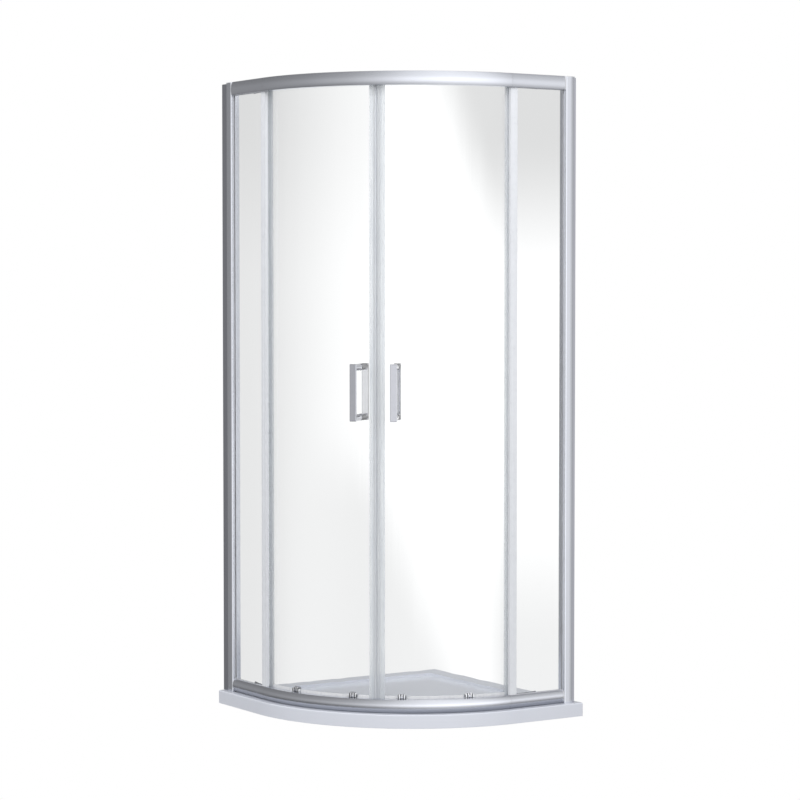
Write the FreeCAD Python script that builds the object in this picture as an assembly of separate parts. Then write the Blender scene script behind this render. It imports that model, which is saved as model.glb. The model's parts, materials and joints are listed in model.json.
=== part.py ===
import FreeCAD, Part
import math
import os

# Quadrant shower enclosure, in millimetres. The room corner is at (-400, 400), the walls run along
# +X and -Y from it, and the curved front faces (+X, -Y). Z is up and the tray stands on Z = 0.
# Most pieces are built on the right-hand side and mirrored across the diagonal through the corner.
# Places on the front are given by a radius about the bend axis, an angle or arc length from the
# line where the doors meet, and a height. Places on the straight ends use the distance to the wall.

# tray
TRAY_SIDE = 800.0
BEND_RADIUS = 550.0
TRAY_HEIGHT = 40.0
TRAY_CORNER_ROUND = 4.0
TRAY_RIM_ROUND = 3.5
RIM_WIDTH = 60.0
FRONT_RIM_WIDTH = 80.0
FLOOR_DEPTH = 10.0
FLOOR_CORNER = 20.0
FLOOR_FOOT_ROUND = 6.0
WASTE_RADIUS = 45.0
WASTE_FROM_FRONT = 238.87
WASTE_SEAT_WIDTH = 12.0
WASTE_SEAT_DEPTH = 3.0
COVER_THICK = 2.5
COVER_CROWN = 1.5
COVER_GAP = 1.0
COVER_LEG = 2.5
COVER_LEG_WIDTH = 8.0

# rails; a setback is counted inwards from the tray's front edge, and a level up from the rail's foot
FRAME_HEIGHT = 1860.0
RAIL_HEIGHT = 40.0
RAIL_INSIDE_SETBACK = 37.0
RAIL_FLANGE_SETBACK = 47.0
FLANGE_THICK = 2.0
RAIL_WALL = 1.5
RAIL_FACE_WALL = 1.8
BOTTOM_RAIL_FOOT_SETBACK = 29.0
BOTTOM_RAIL_BULGE_SETBACK = 17.0
BOTTOM_RAIL_CROWN_SETBACK = 24.0
TOP_RAIL_FOOT_SETBACK = 21.0
TOP_RAIL_BULGE_SETBACK = 16.5
TOP_RAIL_CROWN_SETBACK = 19.0
RAIL_BULGE_LEVEL = 19.0
SEAT_WEB_LEVEL = 28.0
SEAT_WEB_THICK = 1.5
SEAT_WEB_REACH = 4.0
SCREW_PORT_SETBACK = 21.6
SCREW_PORT_LEVELS = (14.0, 25.0)
SCREW_PORT_SIZE = 3.6
SCREW_PORT_SPARE = 4.0
SCREW_HOLE_CLEARANCE = 0.2
RAIL_SCREW_RADIUS = 1.6
RAIL_SCREW_LENGTH = 24.0
RAIL_SCREW_HEAD = 2.9
RAIL_SCREW_HEAD_HEIGHT = 2.4
END_CAP_THICK = 3.0

# posts and wall channels
POST_FROM_WALL = 22.0
POST_WIDTH = 35.0
POST_INNER_SETBACK = 50.0
POST_OUTER_SETBACK = 17.0
POST_WALL = 1.6
POST_ROUND = 4.0
POST_CAP_THICK = 2.0
POST_CAP_PLUG = 4.0
POST_CAP_PLUG_INSET = 8.0
POST_CAP_PLUG_GAP = 0.7
CHANNEL_LEG = 30.0
CHANNEL_WALL = 2.0
CHANNEL_CLEARANCE = 0.2
CHANNEL_FOOT_GAP = 0.4
CHANNEL_TOP_GAP = 2.0
CHANNEL_TRAVEL = 20.0
WALL_HOLE_RADIUS = 2.75
WALL_HOLE_HEIGHTS = (190.0, 690.0, 1190.0, 1690.0)
LOCK_SCREW_FROM_WALL = 25.5
LOCK_SCREW_HEIGHTS = (260.0, 940.0, 1620.0)
LOCK_SCREW_RADIUS = 1.9
LOCK_SCREW_PROUD = 1.0
LOCK_HEAD_RADIUS = 3.3
LOCK_HEAD_HEIGHT = 2.0
LOCK_SLOT_HALF = 2.3
LOCK_NUT_HEIGHT = 2.4

# glass
GLASS = 6.0
FIXED_GLASS_SETBACK = 34.0
DOOR_GLASS_SETBACK = 56.0
DOOR_FOOT_GAP = 8.0
DOOR_HEAD_GAP = 10.0
DOOR_REAR_ANGLE = 47.55
GLASS_HOLE_RADIUS = 6.0

# glazing gasket, fixed stile
GASKET_WALL = 1.6
GASKET_LIP = 1.5
GASKET_SEAT = 0.5
STILE_WIDTH = 24.0
STILE_GLASS_GAP = 2.5
STILE_WALL = 2.4
STILE_STEP = 0.9
STILE_STEP_FROM = 12.0
STILE_RAIL_GAP = 0.3
FIN_FROM_EDGE = 2.0
FIN_THICK = 2.0
FIN_SETBACK = 45.5
FIN_FOOT_GAP = 1.5

# roller track
TRACK_SETBACK = 43.5
RIB_THICK = 1.6
RIB_DEPTH = 11.85
TRACK_RUN_ON_ANGLE = 13.0
DOOR_TRAVEL_ANGLE = 24.0
STOP_GAP_ANGLE = 0.15
STOP_ANGLE = 1.1
STOP_INNER_SETBACK = 46.0
STOP_OUTER_SETBACK = 39.0
STOP_DEPTH = 23.0

# doors
MEETING_GAP = 0.25
MAGNET_STRIP_WIDTH = 23.0
MAGNET_NOSE = 10.0
MAGNET_NOSE_PROUD = 2.5
NOSE_GLASS_GAP = 0.2
STRIP_LEG = 1.2
MAGNET_START = 1.5
MAGNET_END = 8.0
MAGNET_INSET = 0.5
STRIP_END_GAP = 2.0
REAR_STRIP_ANGLE = 2.75
REAR_STRIP_WALL = 1.4
REAR_WEB_ANGLE = 0.3
REAR_LEG_SETBACK = 39.5
REAR_LEG_GAP = 2.0
BOTTOM_SEAL_HEIGHT = 39.0
BOTTOM_SEAL_LEG = 1.0
BOTTOM_SEAL_FLOOR = 2.0
BOTTOM_SEAL_FIN = 3.5
BOTTOM_SEAL_FIN_THICK = 2.0
BOTTOM_SEAL_NOTCH = 15.5
BOTTOM_SEAL_GAP = 0.5

# handles
HANDLE_ARC = 54.0
HANDLE_HEIGHT = 973.0
HANDLE_LENGTH = 166.0
HANDLE_WIDTH = 20.0
HANDLE_BAR = 6.0
HANDLE_STAND_OFF = 48.0
HANDLE_STUD_RADIUS = 3.0
HANDLE_STUD_DEPTH = 12.0
HANDLE_ROUND = 1.5

# glass bushes
BUSH_FLANGE = 0.5
BUSH_FLANGE_RADIUS = 8.5
BUSH_CLEARANCE = 0.1
CURVE_ALLOWANCE = 0.1

# rollers
FRONT_ROLLER_ANGLE = 8.35
REAR_ROLLER_ANGLE = 31.1
WHEEL_RADIUS = 9.0
WHEEL_ROOT = 7.0
WHEEL_WIDTH = 6.0
WHEEL_GROOVE = 2.2
WHEEL_GROOVE_FLARE = 0.4
WHEEL_BORE_CLEARANCE = 0.05
ROLLING_GAP = 0.15
AXLE_RADIUS = 3.0
AXLE_HEAD_RADIUS = 4.8
AXLE_HEAD_HEIGHT = 1.6
AXLE_COLLAR_RADIUS = 5.2
WHEEL_SIDE_GAP = 0.2
THREAD_RADIUS = 2.0
CAP_NUT_RADIUS = 8.0
CAP_NUT_HEIGHT = 5.5
CAP_NUT_DOME = 1.5
CAP_NUT_FACE = 1.0

# quick-release bottom rollers
HOUSING_HALF = 13.5
HOUSING_DEPTH = 9.0
HOUSING_HEIGHT = 12.2
HOUSING_RAIL_GAP = 0.8
HOUSING_ROUND = 8.0
HOUSING_EDGE = 1.0
TONGUE_HALF = 10.0
TONGUE_DEPTH = 4.5
TONGUE_REACH = 10.2
SLIDER_THICK = 2.0
SLIDER_CLEARANCE = 0.2
SLIDER_HALF = 8.0
SLIDER_BELOW_WHEEL = 6.0
SLIDER_BAR = 2.0
BUTTON_PROUD = 2.2
RELEASE_TRAVEL = 5.0
SCREW_ABOVE_FOOT = 4.2
SCREW_SLEEVE_RADIUS = 3.0
SCREW_HEAD_RADIUS = 4.2
SCREW_HEAD_HEIGHT = 2.2
PEG_HALF = 2.4
PEG_THICK = 1.4
SPRING_RADIUS = 1.4
SPRING_WIRE = 0.25
SPRING_TURNS = 5
SPRING_LENGTH = 8.0
SPRING_SIDE_GAP = 0.35
SPRING_RECESS = 1.1
SPRING_WINDOW_HALF = 2.6

# how far joined shapes reach into each other, and cutting shapes past what they cut
LAP = 0.1
MARGIN = 1.0
MARGIN_ANGLE = 1.0

# worked out
HALF = TRAY_SIDE / 2
BEND_X = HALF - BEND_RADIUS
BEND_Y = -BEND_X
MEETING = -45.0
TOP = TRAY_HEIGHT + FRAME_HEIGHT
STRAIGHT = TRAY_SIDE - BEND_RADIUS
FLOOR_LEVEL = TRAY_HEIGHT - FLOOR_DEPTH
COVER_LEG_RADIUS = WASTE_RADIUS + WASTE_SEAT_WIDTH / 2

RAIL_INSIDE = BEND_RADIUS - RAIL_INSIDE_SETBACK
RAIL_FLANGE_EDGE = BEND_RADIUS - RAIL_FLANGE_SETBACK
BOTTOM_RAIL_FACE = (
    BEND_RADIUS - BOTTOM_RAIL_FOOT_SETBACK,
    BEND_RADIUS - BOTTOM_RAIL_BULGE_SETBACK,
    BEND_RADIUS - BOTTOM_RAIL_CROWN_SETBACK,
)
TOP_RAIL_FACE = (
    BEND_RADIUS - TOP_RAIL_FOOT_SETBACK,
    BEND_RADIUS - TOP_RAIL_BULGE_SETBACK,
    BEND_RADIUS - TOP_RAIL_CROWN_SETBACK,
)
SCREW_PORT_RADIUS = BEND_RADIUS - SCREW_PORT_SETBACK
SEAT_TOP = SEAT_WEB_LEVEL + SEAT_WEB_THICK
RAIL_HEAD = TRAY_HEIGHT + RAIL_HEIGHT

POST_INNER = BEND_RADIUS - POST_INNER_SETBACK
POST_OUTER = BEND_RADIUS - POST_OUTER_SETBACK
POST_END = POST_FROM_WALL + POST_WIDTH
RAIL_END = POST_END + END_CAP_THICK

FIXED_GLASS_INNER = BEND_RADIUS - FIXED_GLASS_SETBACK
FIXED_GLASS_OUTER = FIXED_GLASS_INNER + GLASS
FIXED_GLASS_END = STRAIGHT - STILE_GLASS_GAP
SLOT_INNER = FIXED_GLASS_INNER - GASKET_WALL
SLOT_OUTER = FIXED_GLASS_OUTER + GASKET_WALL
SLOT_BACK = POST_END - GLASS - GASKET_WALL
STILE_START = STRAIGHT - STILE_WIDTH
FIN_START = STILE_START + FIN_FROM_EDGE
FIN_INNER = BEND_RADIUS - FIN_SETBACK

DOOR_GLASS_INNER = BEND_RADIUS - DOOR_GLASS_SETBACK
DOOR_GLASS_OUTER = DOOR_GLASS_INNER + GLASS
DOOR_GLASS_MIDDLE = DOOR_GLASS_INNER + GLASS / 2
DOOR_GLASS_FOOT = TRAY_HEIGHT + DOOR_FOOT_GAP
DOOR_GLASS_HEAD = TOP - DOOR_HEAD_GAP
GLASS_FRONT_ARC = MAGNET_NOSE + NOSE_GLASS_GAP
STRIP_FOOT = DOOR_GLASS_FOOT + STRIP_END_GAP
STRIP_HEAD = DOOR_GLASS_HEAD - STRIP_END_GAP
REAR_LEG_OUTER = BEND_RADIUS - REAR_LEG_SETBACK
BOTTOM_SEAL_HEAD = DOOR_GLASS_FOOT + BOTTOM_SEAL_HEIGHT
HANDLE_ANGLE = math.degrees(HANDLE_ARC / DOOR_GLASS_MIDDLE)
HANDLE_BASE = DOOR_GLASS_OUTER + BUSH_FLANGE
CAP_NUT_SEAT = DOOR_GLASS_INNER - CURVE_ALLOWANCE - BUSH_FLANGE
THREAD_END = CAP_NUT_SEAT - CAP_NUT_HEIGHT + CAP_NUT_FACE

TRACK_RADIUS = BEND_RADIUS - TRACK_SETBACK
RIB_INNER = TRACK_RADIUS - RIB_THICK / 2
RIB_OUTER = TRACK_RADIUS + RIB_THICK / 2
STOP_INNER = BEND_RADIUS - STOP_INNER_SETBACK
STOP_OUTER = BEND_RADIUS - STOP_OUTER_SETBACK
WHEEL_CENTRE = RAIL_HEIGHT - RIB_DEPTH - ROLLING_GAP - WHEEL_ROOT
BOTTOM_WHEEL_HEIGHT = TRAY_HEIGHT + WHEEL_CENTRE
TOP_WHEEL_HEIGHT = TOP - WHEEL_CENTRE
WHEEL_INNER = TRACK_RADIUS - WHEEL_WIDTH / 2
WHEEL_OUTER = TRACK_RADIUS + WHEEL_WIDTH / 2
WHEEL_STOP_ANGLE = math.degrees(WHEEL_RADIUS / TRACK_RADIUS)

HOUSING_FOOT = RAIL_HEAD + HOUSING_RAIL_GAP
HOUSING_HEAD = HOUSING_FOOT + HOUSING_HEIGHT
HOUSING_OUTER = HANDLE_BASE + HOUSING_DEPTH
TONGUE_FOOT = HOUSING_FOOT - TONGUE_REACH
TONGUE_OUTER = HANDLE_BASE + TONGUE_DEPTH
SLIDER_INNER = HANDLE_BASE + SLIDER_CLEARANCE
SLIDER_OUTER = SLIDER_INNER + SLIDER_THICK
SLIDER_FOOT = BOTTOM_WHEEL_HEIGHT - SLIDER_BELOW_WHEEL
SLIDER_HEAD = HOUSING_HEAD + BUTTON_PROUD
SCREW_HEIGHT = HOUSING_FOOT + SCREW_ABOVE_FOOT
PEG_HEAD = TONGUE_FOOT + PEG_THICK
FIN_FOOT = HOUSING_HEAD + FIN_FOOT_GAP

BEND_AXIS = FreeCAD.Vector(BEND_X, BEND_Y, 0)
UP = FreeCAD.Vector(0, 0, 1)
OUTWARDS = FreeCAD.Vector(1, 0, 0)
ORIGIN = FreeCAD.Vector(0, 0, 0)
DIAGONAL = FreeCAD.Vector(1, 1, 0)


def arc_angle(length, radius=DOOR_GLASS_MIDDLE):
    """The angle, in degrees, of an arc length on the door."""
    return math.degrees(length / radius)


def mirrored(shape):
    """The same piece on the left-hand side."""
    return shape.mirror(ORIGIN, DIAGONAL)


def ring_point(radius, angle, height):
    """A point on the front; the angle is from the doors' meeting line towards the right wall."""
    turn = math.radians(MEETING + angle)
    return FreeCAD.Vector(BEND_X + radius * math.cos(turn), BEND_Y + radius * math.sin(turn), height)


def ring_sector(inner, outer, start, end, low, high):
    """Part of a ring about the bend axis, between two angles and two heights."""
    middle = (start + end) / 2
    places = ((inner, start), (outer, start), (outer, end), (inner, end))
    corners = [ring_point(radius, angle, low) for radius, angle in places]
    edges = [
        Part.makeLine(corners[0], corners[1]),
        Part.Arc(corners[1], ring_point(outer, middle, low), corners[2]).toShape(),
        Part.makeLine(corners[2], corners[3]),
        Part.Arc(corners[3], ring_point(inner, middle, low), corners[0]).toShape(),
    ]
    return Part.Face(Part.Wire(edges)).extrude(UP * (high - low))


def side_box(near, far, inner, outer, low, high):
    """A box on the right-hand straight end, between two distances to the wall and two radii."""
    corner = FreeCAD.Vector(BEND_X + inner, HALF - far, low)
    return Part.makeBox(outer - inner, far - near, high - low, corner)


def placed(shape, angle):
    """Turns a shape built with +X pointing outwards from the bend axis to its place on the door."""
    shape.rotate(ORIGIN, UP, MEETING + angle)
    shape.translate(BEND_AXIS)
    return shape


def local_box(inner, outer, left, right, low, high):
    """A box with +X pointing outwards from the bend axis, before it is placed."""
    return Part.makeBox(outer - inner, right - left, high - low, FreeCAD.Vector(inner, left, low))


def turned(profile, height):
    """Revolves (radius from the bend axis, distance from the axle) points about a level axle."""
    points = [FreeCAD.Vector(along, 0, height + out) for along, out in profile]
    wire = Part.makePolygon(points + [points[0]])
    return Part.Face(wire).revolve(FreeCAD.Vector(0, 0, height), OUTWARDS, 360)


def peg(radius, inner, outer, height):
    """A level cylinder that points outwards from the bend axis, before it is placed."""
    return Part.makeCylinder(radius, outer - inner, FreeCAD.Vector(inner, 0, height), OUTWARDS)


def fused(shapes):
    """One clean solid from touching shapes."""
    return shapes[0].fuse(shapes[1:]).removeSplitter()


def swept(face):
    """Sweeps a section, drawn at the start of the right-hand straight, along the whole rail."""
    run = FreeCAD.Vector(0, STRAIGHT - RAIL_END, 0)
    straight = face.extrude(run)
    bend = face.revolve(BEND_AXIS, UP, -90)
    return fused([straight, bend, mirrored(straight)])


# --- tray ---


def quadrant_wire(wall_inset, front_radius, corner, height):
    """A quadrant outline: two walls, two short sides and the arc."""
    wall = HALF - wall_inset
    side = BEND_X + front_radius
    foot = math.sqrt(0.5)
    line = Part.makeLine
    vector = FreeCAD.Vector
    back = vector(-wall + corner, wall, height)
    right = vector(side - corner, wall, height)
    edges = [
        line(back, right),
        Part.Arc(
            right,
            vector(side - corner + corner * foot, wall - corner + corner * foot, height),
            vector(side, wall - corner, height),
        ).toShape(),
        line(vector(side, wall - corner, height), vector(side, BEND_Y, height)),
        Part.Arc(
            vector(side, BEND_Y, height),
            ring_point(front_radius, 0, height),
            vector(BEND_X, -side, height),
        ).toShape(),
        line(vector(BEND_X, -side, height), vector(-wall + corner, -side, height)),
        Part.Arc(
            vector(-wall + corner, -side, height),
            vector(-wall + corner - corner * foot, -side + corner - corner * foot, height),
            vector(-wall, -side + corner, height),
        ).toShape(),
        line(vector(-wall, -side + corner, height), vector(-wall, wall - corner, height)),
        Part.Arc(
            vector(-wall, wall - corner, height),
            vector(-wall + corner - corner * foot, wall - corner + corner * foot, height),
            back,
        ).toShape(),
    ]
    return Part.Wire(edges)


def waste_place(height):
    """The middle of the waste, on the diagonal."""
    return ring_point(BEND_RADIUS - WASTE_FROM_FRONT, 0, height)


def shower_tray():
    """Slab with a sunk floor, a rim all round and a rebated hole for the waste."""
    slab = Part.Face(quadrant_wire(0, BEND_RADIUS, TRAY_CORNER_ROUND, 0)).extrude(UP * TRAY_HEIGHT)
    rim = [edge for edge in slab.Edges if edge.BoundBox.ZMin > TRAY_HEIGHT - LAP]
    slab = slab.makeFillet(TRAY_RIM_ROUND, rim)
    outline = quadrant_wire(RIM_WIDTH, BEND_RADIUS - FRONT_RIM_WIDTH, FLOOR_CORNER, FLOOR_LEVEL)
    well = Part.Face(outline).extrude(UP * (FLOOR_DEPTH + MARGIN))
    foot = [edge for edge in well.Edges if edge.BoundBox.ZMax < FLOOR_LEVEL + LAP]
    well = well.makeFillet(FLOOR_FOOT_ROUND, foot)
    seat_place = waste_place(FLOOR_LEVEL - WASTE_SEAT_DEPTH)
    seat = Part.makeCylinder(WASTE_RADIUS + WASTE_SEAT_WIDTH, WASTE_SEAT_DEPTH + MARGIN, seat_place)
    hole = Part.makeCylinder(WASTE_RADIUS, TRAY_HEIGHT, waste_place(0))
    return slab.cut([well, seat, hole])


def waste_cover():
    """Crowned disc that stands on four short legs in the rebate."""
    seat = FLOOR_LEVEL - WASTE_SEAT_DEPTH
    radius = WASTE_RADIUS + WASTE_SEAT_WIDTH - COVER_GAP
    under = seat + COVER_LEG
    rise = COVER_THICK + COVER_CROWN
    sphere = (radius**2 + COVER_CROWN**2) / (2 * COVER_CROWN)
    disc = Part.makeCylinder(radius, rise, waste_place(under))
    disc = disc.common(Part.makeSphere(sphere, waste_place(under + rise - sphere)))
    legs = []
    for quarter in range(4):
        leg = Part.makeBox(
            COVER_LEG,
            COVER_LEG_WIDTH,
            COVER_LEG + COVER_THICK / 2,
            FreeCAD.Vector(COVER_LEG_RADIUS - COVER_LEG / 2, -COVER_LEG_WIDTH / 2, seat),
        )
        leg.rotate(ORIGIN, UP, 45 + 90 * quarter)
        leg.translate(waste_place(0))
        legs.append(leg)
    return fused([disc] + legs)


# --- rails ---


def rail_height(level, top):
    """A height in the frame from a height in the rail's section; the top rail hangs upside down."""
    return TOP - level if top else TRAY_HEIGHT + level


def section_point(radius, level, top):
    """A point of the rail's section at the start of the right-hand straight."""
    return FreeCAD.Vector(BEND_X + radius, BEND_Y, rail_height(level, top))


def section_box(inner, outer, low, high, top):
    """A rectangle in the rail's section."""
    places = ((inner, low), (outer, low), (outer, high), (inner, high))
    corners = [section_point(radius, level, top) for radius, level in places]
    return Part.Face(Part.makePolygon(corners + [corners[0]]))


def rail_outline(foot, bulge, crown, inset, inner, low, high, top):
    """The closed section between a straight inner side and the rounded outer face."""
    start = section_point(foot - inset, low, top)
    end = section_point(crown - inset, high, top)
    outer = Part.Arc(start, section_point(bulge - inset, RAIL_BULGE_LEVEL, top), end).toShape()
    edges = [
        Part.makeLine(section_point(inner, low, top), start),
        outer,
        Part.makeLine(end, section_point(inner, high, top)),
        Part.makeLine(section_point(inner, high, top), section_point(inner, low, top)),
    ]
    return Part.Face(Part.Wire(edges))


def glass_slot(top):
    """The pocket that the fixed pane and its gasket stand in, at the right-hand end of a rail."""
    levels = sorted((rail_height(SEAT_TOP, top), rail_height(RAIL_HEIGHT + MARGIN, top)))
    return side_box(POST_END - MARGIN, STRAIGHT, SLOT_INNER, SLOT_OUTER, *levels)


def port_bore(radius, level, top, start, length):
    """A level cylinder along the rail at one of its screw ports."""
    place = FreeCAD.Vector(BEND_X + SCREW_PORT_RADIUS, HALF - start, rail_height(level, top))
    return Part.makeCylinder(radius, length, place, FreeCAD.Vector(0, -1, 0))


def roller_track(top):
    """The flange and rib that the wheels run on, kept at the bend's radius past both its ends."""
    flange = sorted((rail_height(RAIL_HEIGHT - FLANGE_THICK, top), rail_height(RAIL_HEIGHT, top)))
    rib = sorted((rail_height(RAIL_HEIGHT - RIB_DEPTH, top), rail_height(RAIL_HEIGHT, top)))
    past = -MEETING + TRACK_RUN_ON_ANGLE
    run = RIB_INNER * math.sin(math.radians(TRACK_RUN_ON_ANGLE))
    depth = RIB_INNER * (1 - math.cos(math.radians(TRACK_RUN_ON_ANGLE)))
    plate = side_box(
        STRAIGHT - run, STRAIGHT, RIB_INNER - depth, RAIL_INSIDE + RAIL_WALL / 2, *flange
    )
    plate = plate.cut(Part.makeCylinder(RIB_INNER, FLANGE_THICK, BEND_AXIS + UP * flange[0]))
    return [
        ring_sector(RIB_INNER, RIB_OUTER, -past, past, *rib),
        ring_sector(RIB_INNER, RAIL_INSIDE + RAIL_WALL / 2, MEETING, -MEETING, *flange),
        plate,
        mirrored(plate),
    ]


def rail(foot, bulge, crown, top):
    """A bent hollow rail with a seat for the fixed panes, screw ports and the roller track."""
    body = swept(rail_outline(foot, bulge, crown, 0, RAIL_INSIDE, 0, RAIL_HEIGHT, top))
    chamber = swept(
        rail_outline(
            foot,
            bulge,
            crown,
            RAIL_FACE_WALL,
            RAIL_INSIDE + RAIL_WALL,
            FLANGE_THICK,
            RAIL_HEIGHT - FLANGE_THICK,
            top,
        )
    )
    web_end = foot + SEAT_WEB_REACH
    web = swept(section_box(RAIL_INSIDE + LAP, web_end, SEAT_WEB_LEVEL, SEAT_TOP, top))
    flange = swept(section_box(RAIL_FLANGE_EDGE, RAIL_INSIDE + LAP, 0, FLANGE_THICK, top))
    ports = [
        port_bore(SCREW_PORT_SIZE, level, top, RAIL_END, RAIL_SCREW_LENGTH + SCREW_PORT_SPARE)
        for level in SCREW_PORT_LEVELS
    ]
    ports += [mirrored(port) for port in ports]
    shape = fused([body.cut(chamber), web, flange] + ports + roller_track(top))
    bores = [
        port_bore(RAIL_SCREW_RADIUS, level, top, RAIL_END - MARGIN, RAIL_SCREW_LENGTH)
        for level in SCREW_PORT_LEVELS
    ]
    cuts = bores + [glass_slot(top)]
    return shape.cut(cuts + [mirrored(piece) for piece in cuts])


def rail_end_cap(foot, bulge, crown, top):
    """Thin cap between the rail and the post, with a slot for the pane."""
    face = rail_outline(foot, bulge, crown, 0, RAIL_INSIDE, 0, RAIL_HEIGHT, top)
    cap = face.extrude(FreeCAD.Vector(0, END_CAP_THICK, 0))
    cap.translate(FreeCAD.Vector(0, HALF - RAIL_END - BEND_Y, 0))
    bore = RAIL_SCREW_RADIUS + SCREW_HOLE_CLEARANCE
    bores = [
        port_bore(bore, level, top, POST_END - MARGIN, END_CAP_THICK + 2 * MARGIN)
        for level in SCREW_PORT_LEVELS
    ]
    return cap.cut(bores + [glass_slot(top)])


def rail_screw(level, top):
    """Pan-head screw from inside the post into the rail's screw port."""
    seat = POST_END - POST_WALL
    head = port_bore(RAIL_SCREW_HEAD, level, top, seat - RAIL_SCREW_HEAD_HEIGHT, RAIL_SCREW_HEAD_HEIGHT)
    shank = port_bore(RAIL_SCREW_RADIUS, level, top, seat, RAIL_SCREW_LENGTH)
    return fused([head, shank])


def door_stop(top):
    """Rubber block at the end of the roller track, seated on the flange and over the rib."""
    start = REAR_ROLLER_ANGLE + DOOR_TRAVEL_ANGLE + WHEEL_STOP_ANGLE + STOP_GAP_ANGLE
    end = start + STOP_ANGLE
    levels = sorted(
        (rail_height(RAIL_HEIGHT - FLANGE_THICK, top), rail_height(RAIL_HEIGHT - STOP_DEPTH, top))
    )
    block = ring_sector(STOP_INNER, STOP_OUTER, start, end, *levels)
    rib = sorted((rail_height(RAIL_HEIGHT - RIB_DEPTH, top), rail_height(RAIL_HEIGHT, top)))
    return block.cut(ring_sector(RIB_INNER, RIB_OUTER, start - MARGIN_ANGLE, end + MARGIN_ANGLE, *rib))


# --- posts, wall channels and fixed panes ---


def post_outline(low):
    """The post's outer section, with rounded outer corners."""
    left = BEND_X + POST_INNER
    right = BEND_X + POST_OUTER
    wall = HALF - POST_FROM_WALL
    flank = HALF - POST_END
    vector = FreeCAD.Vector
    quarter = POST_ROUND * (1 - math.sqrt(0.5))
    edges = [
        Part.makeLine(vector(left, wall, low), vector(right - POST_ROUND, wall, low)),
        Part.Arc(
            vector(right - POST_ROUND, wall, low),
            vector(right - quarter, wall - quarter, low),
            vector(right, wall - POST_ROUND, low),
        ).toShape(),
        Part.makeLine(vector(right, wall - POST_ROUND, low), vector(right, flank + POST_ROUND, low)),
        Part.Arc(
            vector(right, flank + POST_ROUND, low),
            vector(right - quarter, flank + quarter, low),
            vector(right - POST_ROUND, flank, low),
        ).toShape(),
        Part.makeLine(vector(right - POST_ROUND, flank, low), vector(left, flank, low)),
        Part.makeLine(vector(left, flank, low), vector(left, wall, low)),
    ]
    return Part.Face(Part.Wire(edges))


def post():
    """Hollow post, open to the wall, with a glazing slot in its flank."""
    head = TOP - POST_CAP_THICK
    outer = post_outline(TRAY_HEIGHT).extrude(UP * (head - TRAY_HEIGHT))
    hollow = side_box(
        POST_FROM_WALL - MARGIN,
        POST_END - POST_WALL,
        POST_INNER + POST_WALL,
        POST_OUTER - POST_WALL,
        TRAY_HEIGHT,
        head,
    )
    slot_wall = side_box(
        SLOT_BACK - POST_WALL,
        POST_END - POST_WALL / 2,
        SLOT_INNER - POST_WALL,
        SLOT_OUTER + POST_WALL,
        TRAY_HEIGHT,
        head,
    )
    slot = side_box(SLOT_BACK, POST_END + MARGIN, SLOT_INNER, SLOT_OUTER, TRAY_HEIGHT, head)
    shape = fused([outer.cut(hollow), slot_wall]).cut(slot)
    bore = RAIL_SCREW_RADIUS + SCREW_HOLE_CLEARANCE
    bores = [
        port_bore(bore, level, top, POST_END - POST_WALL - MARGIN, POST_WALL + 2 * MARGIN)
        for level in SCREW_PORT_LEVELS
        for top in (False, True)
    ]
    bores += [
        lock_cylinder(
            LOCK_SCREW_RADIUS + LAP, height, POST_INNER - MARGIN, POST_INNER + POST_WALL + MARGIN
        )
        for height in LOCK_SCREW_HEIGHTS
    ]
    return shape.cut(bores)


def post_cap():
    """Flat cap on the post, with a plug between the channel's legs."""
    plate = post_outline(TOP - POST_CAP_THICK).extrude(UP * POST_CAP_THICK)
    leg = POST_WALL + CHANNEL_CLEARANCE + CHANNEL_WALL
    plug = side_box(
        POST_FROM_WALL + POST_CAP_PLUG_INSET,
        SLOT_BACK - POST_WALL,
        POST_INNER + leg + POST_CAP_PLUG_GAP,
        POST_OUTER - leg - POST_CAP_PLUG_GAP,
        TOP - POST_CAP_THICK - POST_CAP_PLUG,
        TOP - POST_CAP_THICK,
    )
    return fused([plate, plug])


def lock_cylinder(radius, height, inner, outer):
    """A level cylinder through the post's inner wall, where it is locked to the channel."""
    place = FreeCAD.Vector(BEND_X + inner, HALF - LOCK_SCREW_FROM_WALL, height)
    return Part.makeCylinder(radius, outer - inner, place, OUTWARDS)


def lock_screw(height):
    """Screw that locks the post to the wall channel, with its nut."""
    leg_inside = POST_INNER + POST_WALL + CHANNEL_CLEARANCE + CHANNEL_WALL
    nut_start = leg_inside + CHANNEL_CLEARANCE
    nut_end = nut_start + LOCK_NUT_HEIGHT
    head = lock_cylinder(LOCK_HEAD_RADIUS, height, POST_INNER - LOCK_HEAD_HEIGHT, POST_INNER)
    shank = lock_cylinder(LOCK_SCREW_RADIUS, height, POST_INNER, nut_end + LOCK_SCREW_PROUD)
    nut = lock_cylinder(LOCK_HEAD_RADIUS, height, nut_start, nut_end)
    bore = lock_cylinder(LOCK_SCREW_RADIUS, height, nut_start - MARGIN, nut_end + MARGIN)
    return [fused([head, shank]), nut.cut(bore)]


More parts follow.
